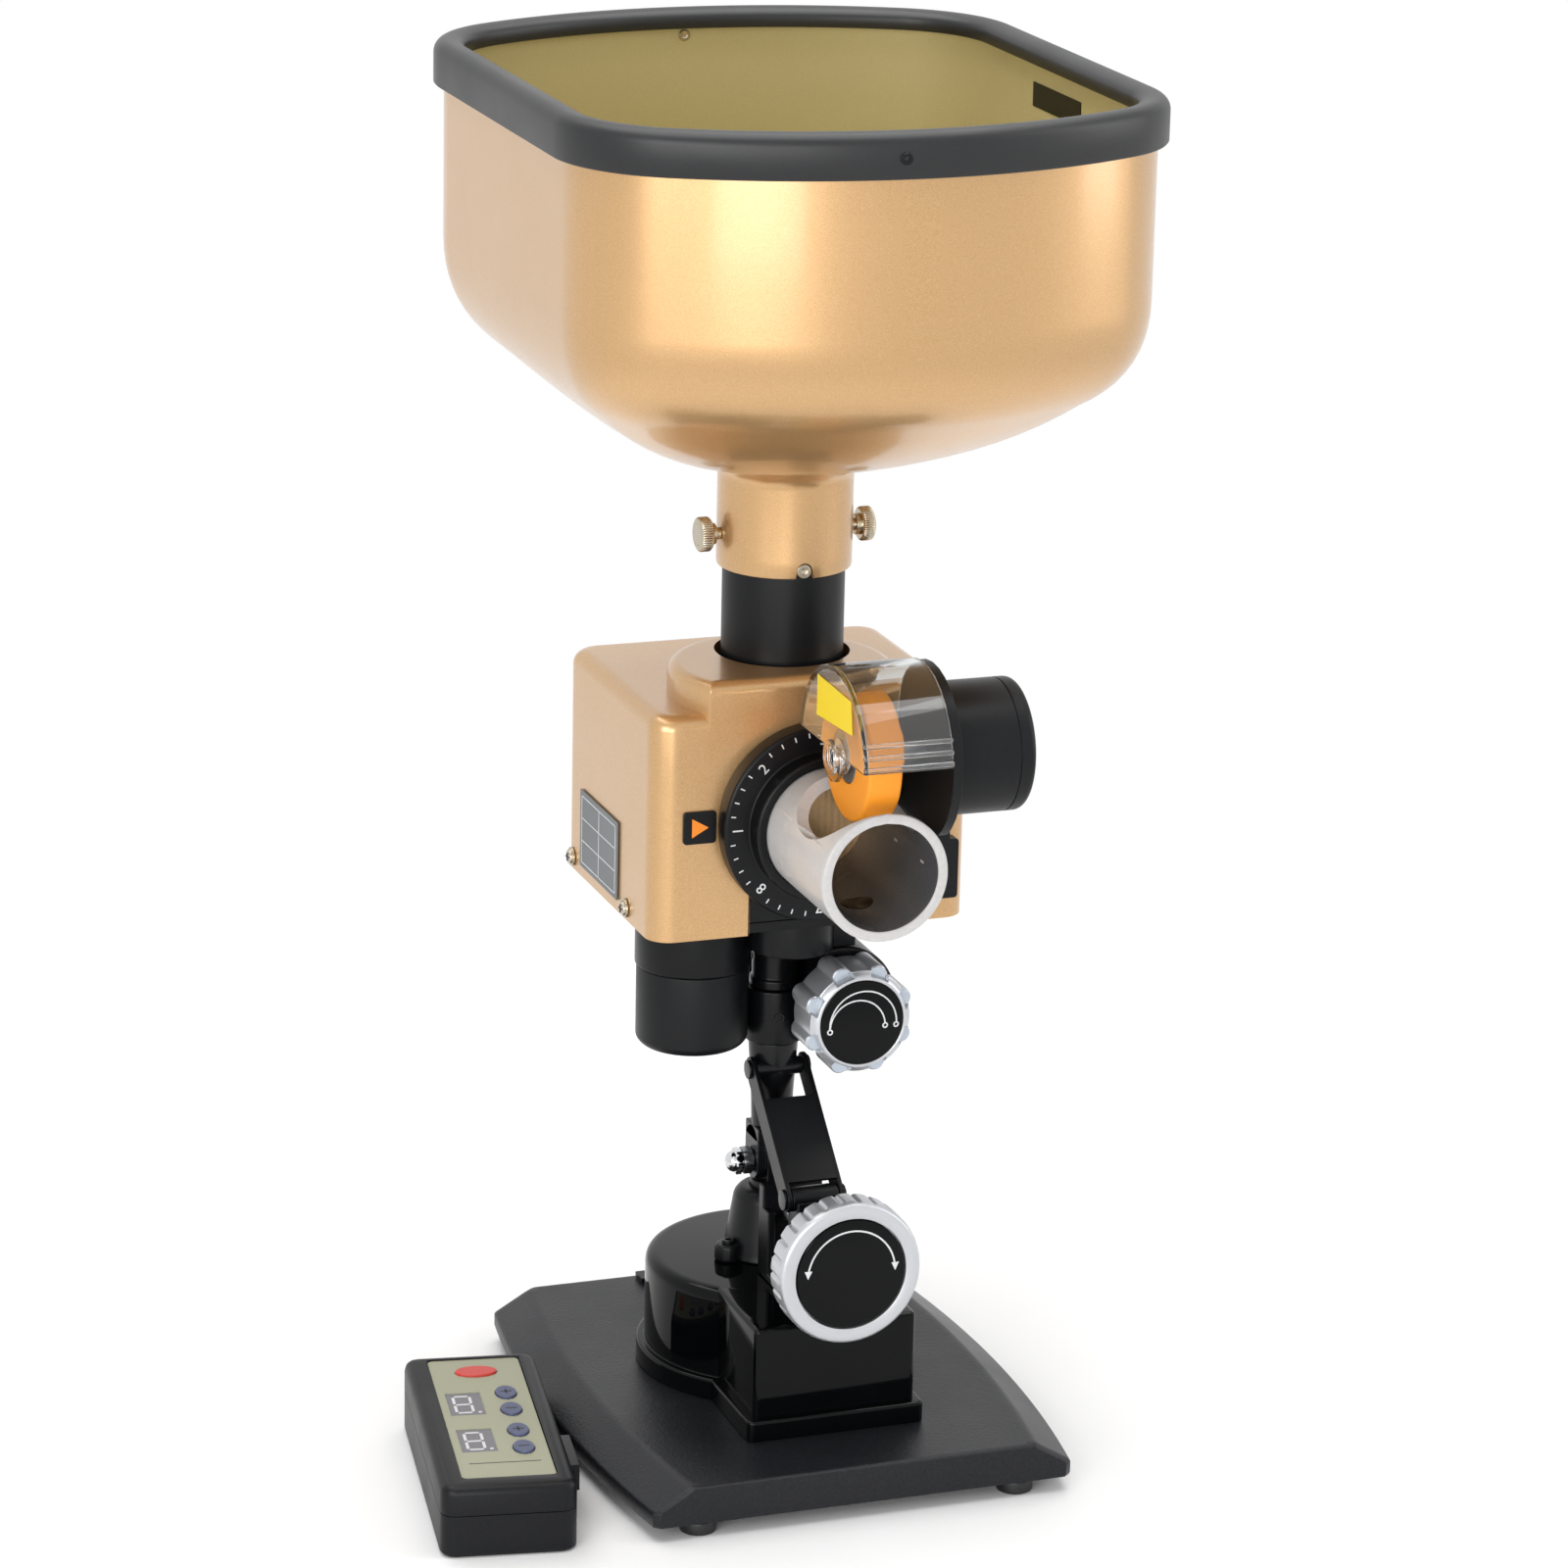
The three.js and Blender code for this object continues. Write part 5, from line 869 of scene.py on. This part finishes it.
def hopper_plan(inset):
    """The hopper's plan: straight sides, an arc of 56 mm at each corner and one of 199 mm across the
    front and the rear, each less the inset. A corner's arc meets the wide arc without a kink, because
    the two middles are bulge - corner apart."""
    fine = 6
    half_x, half_y, bulge = 123 - inset, 147.6 - inset, 199 - inset
    corner = max(56 - inset, 0.3)
    centre = half_y - bulge
    corner_y = centre + math.sqrt((bulge - corner) ** 2 - (half_x - corner) ** 2)
    meet = math.atan2(corner_y - centre, half_x - corner)
    side = np.column_stack([np.full(2 * fine, half_x),
                            np.linspace(0, corner_y, 2 * fine, endpoint=False)])
    turn = np.linspace(0, meet, 4 * fine, endpoint=False)
    bend = np.column_stack([half_x - corner + corner * np.cos(turn), corner_y + corner * np.sin(turn)])
    turn = np.linspace(meet, TURN / 4, 4 * fine + 1)
    front = np.column_stack([bulge * np.cos(turn), centre + bulge * np.sin(turn)])
    quarter = np.vstack([side, bend, front])
    half = np.vstack([quarter, (quarter * (-1, 1))[-2::-1]])
    return np.vstack([half, (half * (1, -1))[-2:0:-1]]) + (0, AXIS_Y)


# Steps in each of the three curves of the bowl's wall
BOWL_STEPS = 10


def bowl_section():
    """The bowl's wall from collar to rim as (share of its reach, height): three parabolas."""
    def bend(start, middle, end):
        share = np.linspace(0, 1, BOWL_STEPS + 1)[:, None]
        start, middle, end = map(np.array, (start, middle, end))
        return (1 - share) ** 2 * start + 2 * share * (1 - share) * middle + share ** 2 * end
    parts = [bend((0, 402), (0, 409.3), (0.1, 411.9)), bend((0.1, 411.9), (0.5, 421), (0.8, 447)),
             bend((0.8, 447), (1, 460), (1, 488))]
    return np.vstack([parts[0], parts[1][1:], parts[2][1:]])


def bowl_ring(share, inset, radius, height):
    """The plan drawn in towards the collar's circle, to plan * (share + (1 - share) * radius / |plan|):
    share 0 is the circle and 1 the plan. Below a round-topped notch in the collar's front edge the
    ring is lifted to the notch's outline."""
    plan = hopper_plan(inset) - (0, AXIS_Y)
    size = share + (1 - share) * radius / np.hypot(*plan.T)[:, None]
    spots = plan * size
    across = spots[:, 0] - KEY_X
    notch = KEY_Z + np.sqrt(np.clip(KEY_NOTCH ** 2 - across ** 2, 0, None))
    within = (np.abs(across) < KEY_NOTCH) & (spots[:, 1] < 0)
    z = np.where(within, np.maximum(height, notch), height)
    return np.column_stack([spots + (0, AXIS_Y), z])


def build_hopper():
    """Lacquered bowl on its collar, the black edging, its screws, a bare dark label inside, and two
    knurled screws. The bowl's rings climb the outside and come down the inside, which is raised by
    2.6 * (1 - share ** 2) to give the wall its thickness where it runs level."""
    section = bowl_section()
    outside, inside, socket = (4.2, 27.4), (6.8, 22.6), (6.8, 25.1)
    rows = [bowl_ring(0, 4.2, radius, z) for radius, z in ((26.4, COLLAR_LOW), (27.1, 366.3))]
    rows += [bowl_ring(0, *outside, z) for z in (367.2, 373)]
    rows += [bowl_ring(share, *outside, z) for share, z in section]
    rows += [bowl_ring(1, *outside, 563.6), bowl_ring(1, *inside, 563.6)]
    rows += [bowl_ring(share, *inside, z + 2.6 * (1 - share ** 2))
             for share, z in section[BOWL_STEPS:][::-1]]
    rows += [bowl_ring(0, *inside, z) for z in (408, 398, THROAT_LOW)]
    rows += [bowl_ring(0, *socket, z) for z in (THROAT_LOW, 373, 366.4)]
    grid = np.stack(rows)
    bowl = remade("hopper", [sheet(grid, closed=True)], gold, 40)

    def inner_wall(spots, ways):
        inwards = ((spots[:, :2] - (0, AXIS_Y)) * ways[:, :2]).sum(1) < 0
        return (spots[:, 2] > THROAT_LOW) & (inwards | (ways[:, 2] > 0.5))
    repaint(bowl, gold_inside, inner_wall)
    turn = np.linspace(TURN / 4, 0, 9)
    outline = [(0.5, 550.1), (0, 550.7)]
    outline += [(5.25 * (1 - math.sin(t)), RIM_Z - 5.25 * (1 - math.cos(t))) for t in turn]
    outline += [(8.5, RIM_Z - 0.3), (10.75, RIM_Z - 1.2), (12, 565.4), (12.6, 563.9), (12.6, 560.2),
                (12.3, 559.6), (7.1, 559.6), (7.1, 563.9), (3.9, 563.9), (3.9, 550.1)]
    grid = np.stack([level(hopper_plan(inset), z) for inset, z in outline])
    remade("hopper_rim", [sheet(grid, closed=True)], rubber, 50)
    skin("rim_screw_front", [aimed(socket_head(2.4, 0.7, 2.2, 0.9), (-9, -136.9, 558), (0, -1, 0))],
         black_steel, "hopper")
    skin("rim_screw_rear", [aimed(socket_head(2.4, 0.9, 2.6, 0.9), (2, 151, 556), (0, -1, 0))],
         nickel, "hopper")
    skin("inside_label", [slab(round_box(25, 5, 0.5, (21, 545.5)), 115.9, 116.25, "x", 0.05)],
         satin_black, "hopper")
    for name, side in (("left", -1), ("right", 1)):
        build_thumb_screw(name, side)


def build_thumb_screw(name, side):
    """A stem, a shoulder and a head whose knurl is a fine wave: radius - 0.22 * |sin(24 * angle)|."""
    turn = np.arange(480) * TURN / 480
    wave = 0.22 * np.abs(np.sin(24 * turn))

    def outline(inset):
        radius = 7 - inset - wave * np.clip(1.5 - inset, 0, 1)
        return np.column_stack([AXIS_Y + radius * np.cos(turn), THUMB_Z + radius * np.sin(turn)])
    profile = [(2.6, 31.7), (0.9, 31.7), (0.2, 32.3), (0, 32.7), (0, 36.1), (0.3, 36.6), (1.1, 37.1),
               (1.6, 37.2), (2.2, 37.2), (2.5, 36.95), (2.8, 37.2)]
    stem = rounded([(0, 27.45), (2.5, 27.45), (2.5, 29.7), (4.4, 29.7), (4.4, 31.8), (0, 31.8)],
                   [0, 0.3, 0, 0.5, 0, 0])
    remade(f"thumb_screw_{name}", [loft(outline, [(inset, side * x) for inset, x in profile], "x"),
                                   spin("x", stem * (1, side), (AXIS_Y, THUMB_Z), 64)], nickel)


# Shooter


def build_dial():
    """Black dial with a raised hub round the outlet tube, ticks and plain numbers."""
    path = [(26.3, -31.3), (40.7, -31.3), (40.7, -40), (30.1, -40), (30.1, -49), (26.3, -49),
            (26.3, -31.3)]
    remade("dial", [spin("y", rounded(path, [0, 0.5, 1.6, 0.8, 1.2, 0.5, 0], 6), (0, MUZZLE_Z), 192)],
           satin_black)
    turns = [TURN * i / 8 for i in range(8)]
    spots = [(35 * math.cos(t), MUZZLE_Z + 35 * math.sin(t), math.pi / 2 - t, -40.02) for t in turns]
    writing("dial_numbers", [str((4 - i) % 8 + 1) for i in range(8)], 6.4, spots, white_ink, "shooter")
    ticks = []
    for i in range(40):
        if i % 5:
            t = TURN * i / 40
            out = np.array([math.cos(t), 0, math.sin(t)])
            ends = np.array([[0, -40, MUZZLE_Z] + out * reach for reach in (36.6, 38.6)])
            ticks.append(ribbon(ends, np.array([[-out[2], 0, out[0]]] * 2), 0.25, 0.2, -0.07))
    skin("dial_ticks", ticks, white_ink, "shooter")


def build_outlet():
    """Pale tube whose top is cut away for the wheel: at each angle round the tube, from the top, the
    cut reaches sqrt(WHEEL_ROOM ** 2 - (rise - radius * cos(angle)) ** 2) before and behind the wheel's
    middle. Its bore is repainted as the liner, with two slits drawn as pale marks of painted highlight, and
    an oval window."""
    rise = WHEEL_Z - MUZZLE_Z
    low = np.linspace(0, math.acos((rise - MUZZLE_OUTER) / WHEEL_ROOM), 40)
    half = np.arccos(np.clip((rise - WHEEL_ROOM * np.cos(low)) / MUZZLE_OUTER, -1, 1))
    rest = np.linspace(half[0], TURN - half[0], 90)[1:-1]
    angle = np.concatenate([-half, half[::-1][1:], rest])

    def chord(radius):
        drop = rise - radius * np.cos(angle)
        return np.sqrt(np.clip(WHEEL_ROOM ** 2 - drop ** 2, 0, None))

    def ring(radius, y):
        y = np.broadcast_to(y, angle.shape)
        return np.stack([radius * np.sin(angle), y, MUZZLE_Z + radius * np.cos(angle)], -1)

    outer, inner = chord(MUZZLE_OUTER), chord(MUZZLE_INNER)
    front = [(MUZZLE_OUTER, WHEEL_Y - outer), (MUZZLE_OUTER, np.minimum(-110, WHEEL_Y - outer)),
             (MUZZLE_OUTER, -112.4), (25.8, -112.8), (25.4, -113), (22.6, -113), (22.2, -112.8),
             (MUZZLE_INNER, -112.4), (MUZZLE_INNER, np.minimum(-110, WHEEL_Y - inner)),
             (MUZZLE_INNER, WHEEL_Y - inner)]
    rear = [(MUZZLE_OUTER, WHEEL_Y + outer), (MUZZLE_OUTER, -28.6), (25.8, -28.5), (22.2, -28.5),
            (MUZZLE_INNER, -28.6), (MUZZLE_INNER, WHEEL_Y + inner)]
    parts = [sheet(np.stack([ring(*row) for row in rows]), closed=True) for rows in (front, rear)]
    tube = remade("outlet_tube", parts, pale_plastic)

    def bore(spots, ways):
        reach = np.hypot(spots[:, 0], spots[:, 2] - MUZZLE_Z)
        return (reach < MUZZLE_INNER + 0.05) & (np.abs(ways[:, 1]) < 0.3)
    repaint(tube, liner, bore)
    # The two slits in the bore are drawn only as pale marks on the liner: painted highlights
    slots = [slab(round_box(1.7, 0.5, 0.45, (y, 270.4)), 21.85, 22.2, "x", 0.05) for y in (-95, -66)]
    skin("outlet_slot_glints", slots, pale_plastic, "shooter")
    turn = np.arange(48) * TURN / 48

    def window(radius):
        across = 0.09 + 0.3 * np.cos(turn)
        return np.stack([radius * np.sin(across), -77 + 6.5 * np.sin(turn),
                         MUZZLE_Z - radius * np.cos(across)], -1)
    middle = np.broadcast_to([1.98, -77, MUZZLE_Z - 21.9], (48, 3))
    grid = np.stack([window(22.1), window(21.75), window(21.75) * 0.5 + middle * 0.5, middle])
    skin("outlet_window", [sheet(grid)], piano_black, "shooter")


def build_wheel():
    """Foam wheel on its hub with a chromed screw and washer, the motor, its bracket and the guard.
    The guard's ribs lie on its round front, and its sticker stops at its edge, 34.5 mm out."""
    spot = (WHEEL_Y, WHEEL_Z)
    tyre = rounded([(11, -7), (25.7, -7), (25.7, 7), (11, 7), (11, -7)], [0, 1.4, 1.4, 0.6, 0], 5)
    remade("throw_wheel", [spin("x", tyre, spot, 160)], foam)
    remade("wheel_hub", [spin("x", drum(10.7, -7, 7, 0.6), spot), spin("x", drum(4, 6, 31), spot, 48)],
           steel)
    remade("wheel_screw", [spin("x", drum(7, -8.5, -7.3, 0.3), spot),
                           aimed(socket_head(4, 4.2, 4.4, 2.6), (-8.5, *spot), (-1, 0, 0))],
           chrome)
    dressed("motor_bracket", casing_black, 0.6)
    motor = rounded([(0, 28.3), (26.5, 28.3), (26.5, 55.6), (26.1, 55.7), (26.1, 56.1), (26.5, 56.2),
                     (26.5, 62.8), (0, 62.8)], [0, 0.4, 0.1, 0.1, 0.1, 0.1, 5.5, 0], 10)
    remade("throw_motor", [spin("x", motor, spot, 128)], casing_black)
    dressed("wheel_guard", clear, 0.35)
    ribs = []
    for z in (317.8, 322.2, 326.6):
        y = WHEEL_Y - math.sqrt(36.4 ** 2 - (z - WHEEL_Z) ** 2)
        ribs.append(spin("x", drum(1.0, -13.2, 23.7, 0.4), (y, z), 24))
    lug = rounded([(5.3, -14.4), (6.9, -14.4), (7.2, -13.1), (5.3, -13.1), (5.3, -14.4)], [0, 0.4, 0, 0, 0])
    skin("guard_ribs", [*ribs, spin("x", lug, spot, 64)], clear, "shooter")
    corners = np.array([(-67.7, 325.6), (-107.2, 328.1), (-107.6, 344.6), (-67.7, 342.1)])
    reach = np.hypot(*(corners - spot).T)[:, None]
    label = np.where(reach < 34.5, corners, spot + (corners - spot) * 34.5 / reach)
    skin("guard_sticker", [loft(lambda inset: label, [(0, -13.2), (0, -13.4)], "x")],
         yellow_foil, "shooter")


# Control box


def in_box(part):
    """A part drawn in the control box's own frame, turned and moved to where the box lies."""
    grid, faces = part
    x, y = grid[..., 0], grid[..., 1]
    return np.stack([BOX_AT[0] + x * math.cos(BOX_TURN) - y * math.sin(BOX_TURN),
                     BOX_AT[1] + x * math.sin(BOX_TURN) + y * math.cos(BOX_TURN), grid[..., 2]], -1), faces


# The seven bars and the point of a display digit: middle and half sizes
DIGIT = ((-8.4, 8.2, 2.8, 0.6), (-8.4, 0, 2.8, 0.6), (-8.4, -8.2, 2.8, 0.6), (-11.8, 4.1, 0.6, 3.2),
         (-11.8, -4.1, 0.6, 3.2), (-5.0, 4.1, 0.6, 3.2), (-5.0, -4.1, 0.6, 3.2), (-2.4, -8.1, 0.7, 0.7))


def flat_bar(x, y, half_x, half_y, low, high):
    """A small raised bar on the panel."""
    return in_box(slab(round_box(half_x, half_y, 0.3, (x, y), 3), low, high, "z", 0.03))


def build_control_box():
    """Two moulded halves, a foil panel with two display windows, and five foil keys."""
    key_profile = edge(28.2, 30.3, 0.6)
    dressed("control_case_lower", case_black, 0.12)
    dressed("control_case_upper", case_black, 0.12)
    dressed("control_panel", panel_foil, 0.15)
    remade("key_stop", [in_box(loft(oval(8.6, 5, (0.8, 48.7)), key_profile))], red_key)
    for key, y in (("speed_up", 25.8), ("speed_down", 8.8), ("rate_up", -12.3), ("rate_down", -29.3)):
        remade(f"key_{key}", [in_box(loft(oval(4.3, 6.2, (10.3, y)), key_profile))],
               blue_key)
        sign = [flat_bar(10.3, y, 2.3, 0.45, 30.2, 30.37)]
        if key.endswith("up"):
            sign.append(flat_bar(10.3, y, 0.45, 2.3, 30.2, 30.37))
        skin(f"key_{key}_sign", sign, dark_ink_and_slot_shade, f"key_{key}")
    windows, bars = [], []
    for y in (17, -19.8):
        windows.append(flat_bar(-7.4, y, 7.0, 11.3, 28.85, 29.0))
        bars += [flat_bar(x, y + up, half_x, half_y, 28.95, 29.1) for x, up, half_x, half_y in DIGIT]
    skin("display_windows", windows, window_grey, "control_box")
    skin("display_bars", bars, digit_white, "control_box")
    skin("panel_line", [flat_bar(1, -42.6, 14.5, 0.3, 29.3, 29.47)], dark_ink_and_slot_shade, "control_box")


# Studio


def softbox(name, at, aim, wide, high, power):
    """A rectangular area light at one point, facing another."""
    light = bpy.data.lights.new(name, "AREA")
    light.shape = "RECTANGLE"
    light.size, light.size_y = wide, high
    light.energy = power
    lamp = bpy.data.objects.new(name, light)
    lamp.location = at
    lamp.rotation_euler = (Vector(aim) - Vector(at)).to_track_quat("-Z", "Y").to_euler()
    bpy.context.collection.objects.link(lamp)


def background_share(tree):
    """1 for the rays that show the white background as it is: the camera's own, and those that
    metal mirrors and clear plastic lets through. 0 for the rays that carry its light."""
    path = add(tree, "ShaderNodeLightPath")
    mirrored = add(tree, "ShaderNodeMath", {0: path.outputs["Is Camera Ray"],
                                            1: path.outputs["Is Glossy Ray"]}, operation="MAXIMUM")
    return add(tree, "ShaderNodeMath", {0: mirrored.outputs["Value"],
                                        1: path.outputs["Is Transmission Ray"]},
               operation="MAXIMUM").outputs["Value"]


def studio_floor():
    """White paper that fades to pure white away from the object: by the distance from the middle,
    from 0.35 to 0.9 m, the lit surface gives way to plain white. Near the object it stays lit
    paper, which keeps the shadow."""
    material = bpy.data.materials.new("studio_floor")
    material.use_nodes = True
    tree = material.node_tree
    tree.nodes.clear()
    spot = add(tree, "ShaderNodeTexCoord").outputs["Object"]
    away = add(tree, "ShaderNodeVectorMath", {0: spot}, operation="LENGTH")
    share = add(tree, "ShaderNodeMapRange",
                {"Value": away.outputs["Value"], "From Min": 0.35, "From Max": 0.9},
                interpolation_type="SMOOTHSTEP")
    fibre = add(tree, "ShaderNodeTexNoise", {"Vector": spot, "Scale": per_metre(3), "Detail": 2.0})
    bump = add(tree, "ShaderNodeBump", {"Height": fibre.outputs["Fac"], "Distance": 0.01 * MM})
    paper = add(tree, "ShaderNodeBsdfPrincipled",
                {"Base Color": colour(0xFCFCFC), "Roughness": 0.8, "Normal": bump.outputs["Normal"]})
    blank = add(tree, "ShaderNodeMath",
                {0: share.outputs["Result"], 1: background_share(tree)}, operation="MULTIPLY")
    white = add(tree, "ShaderNodeEmission", {"Color": colour(0xFFFFFF), "Strength": 1.0})
    mixed = add(tree, "ShaderNodeMixShader",
                {0: blank.outputs["Value"], 1: paper.outputs["BSDF"], 2: white.outputs["Emission"]})
    add(tree, "ShaderNodeOutputMaterial", {"Surface": mixed.outputs["Shader"]})
    return material


def build_studio():
    """Pale floor, soft boxes at the left, right, front and top, and a world that lights the object
    more from behind than from the front: its strength eases from 0.27 to 0.75 with the direction's
    share towards the rear."""
    mesh = bpy.data.meshes.new("floor")
    spots = np.array([(-8, -8, 0), (8, -8, 0), (8, 8, 0), (-8, 8, 0)], float)
    mesh.from_pydata(spots.tolist(), [], [(0, 1, 2, 3)])
    mesh.materials.append(studio_floor())
    floor = bpy.data.objects.new("floor", mesh)
    bpy.context.collection.objects.link(floor)
    softbox("left_softbox", (-1.6, -1.6, 0.8), (0, 0, 0.35), 1.1, 1.3, 22)
    softbox("right_softbox", (1.7, -0.7, 0.9), (0, 0, 0.35), 0.4, 1.6, 9)
    softbox("front_softbox", (-0.65, -2.15, 0.4), (0, 0, 0.3), 0.8, 0.9, 12)
    softbox("top_softbox", (0.0, 0.2, 2.2), (0, 0, 0.2), 2.2, 2.2, 44)
    world = bpy.data.worlds.new("studio")
    bpy.context.scene.world = world
    world.use_nodes = True
    tree = world.node_tree
    tree.nodes.clear()
    way = add(tree, "ShaderNodeTexCoord").outputs["Generated"]
    back = add(tree, "ShaderNodeSeparateXYZ", {"Vector": way}).outputs["Y"]
    glow = add(tree, "ShaderNodeMapRange",
               {"Value": back, "From Min": 0.0, "From Max": 0.8, "To Min": 0.27, "To Max": 0.75},
               interpolation_type="SMOOTHSTEP")
    lit = add(tree, "ShaderNodeBackground",
              {"Color": colour(0xFFFFFF), "Strength": glow.outputs["Result"]})
    seen = add(tree, "ShaderNodeBackground", {"Color": colour(0xFFFFFF), "Strength": 1.0})
    mixed = add(tree, "ShaderNodeMixShader", {0: background_share(tree), 1: lit.outputs["Background"],
                                              2: seen.outputs["Background"]})
    add(tree, "ShaderNodeOutputWorld", {"Surface": mixed.outputs["Shader"]})


def build_camera():
    """The photograph's camera: it looks at a point above the plate's middle from a distance, by an
    azimuth, a pitch and a roll that were worked out from places of the object in the photograph."""
    azimuth, pitch, roll = math.radians(-20.11), math.radians(17.04), math.radians(1.30)
    aim_height, distance = 0.2769, 2.278
    lens = bpy.data.cameras.new("camera")
    lens.sensor_width = 36
    lens.lens = 129.06
    lens.shift_x, lens.shift_y = -0.0024, -0.0016
    camera = bpy.data.objects.new("camera", lens)
    right = Vector((math.cos(azimuth), math.sin(azimuth), 0))
    back = Vector((math.sin(azimuth) * math.cos(pitch), -math.cos(azimuth) * math.cos(pitch),
                   math.sin(pitch)))
    up = back.cross(right)
    turned_right = right * math.cos(roll) + up * math.sin(roll)
    turned_up = up * math.cos(roll) - right * math.sin(roll)
    matrix = Matrix((turned_right, turned_up, back)).transposed().to_4x4()
    matrix.translation = Vector(ORIGIN * MM) + Vector((0, 0, aim_height)) + back * distance
    camera.matrix_world = matrix
    bpy.context.collection.objects.link(camera)
    scene = bpy.context.scene
    scene.camera = camera
    scene.view_settings.view_transform = "Standard"


build_base()
build_hinge()
build_neck()
build_elevation()
build_loop_knob()
build_head_base()
build_angle_knob()
build_head_cover()
build_crown()
build_cover_parts()
build_feed()
build_hopper()
build_dial()
build_outlet()
build_wheel()
build_control_box()
build_studio()
build_camera()

bpy.context.view_layer.update()
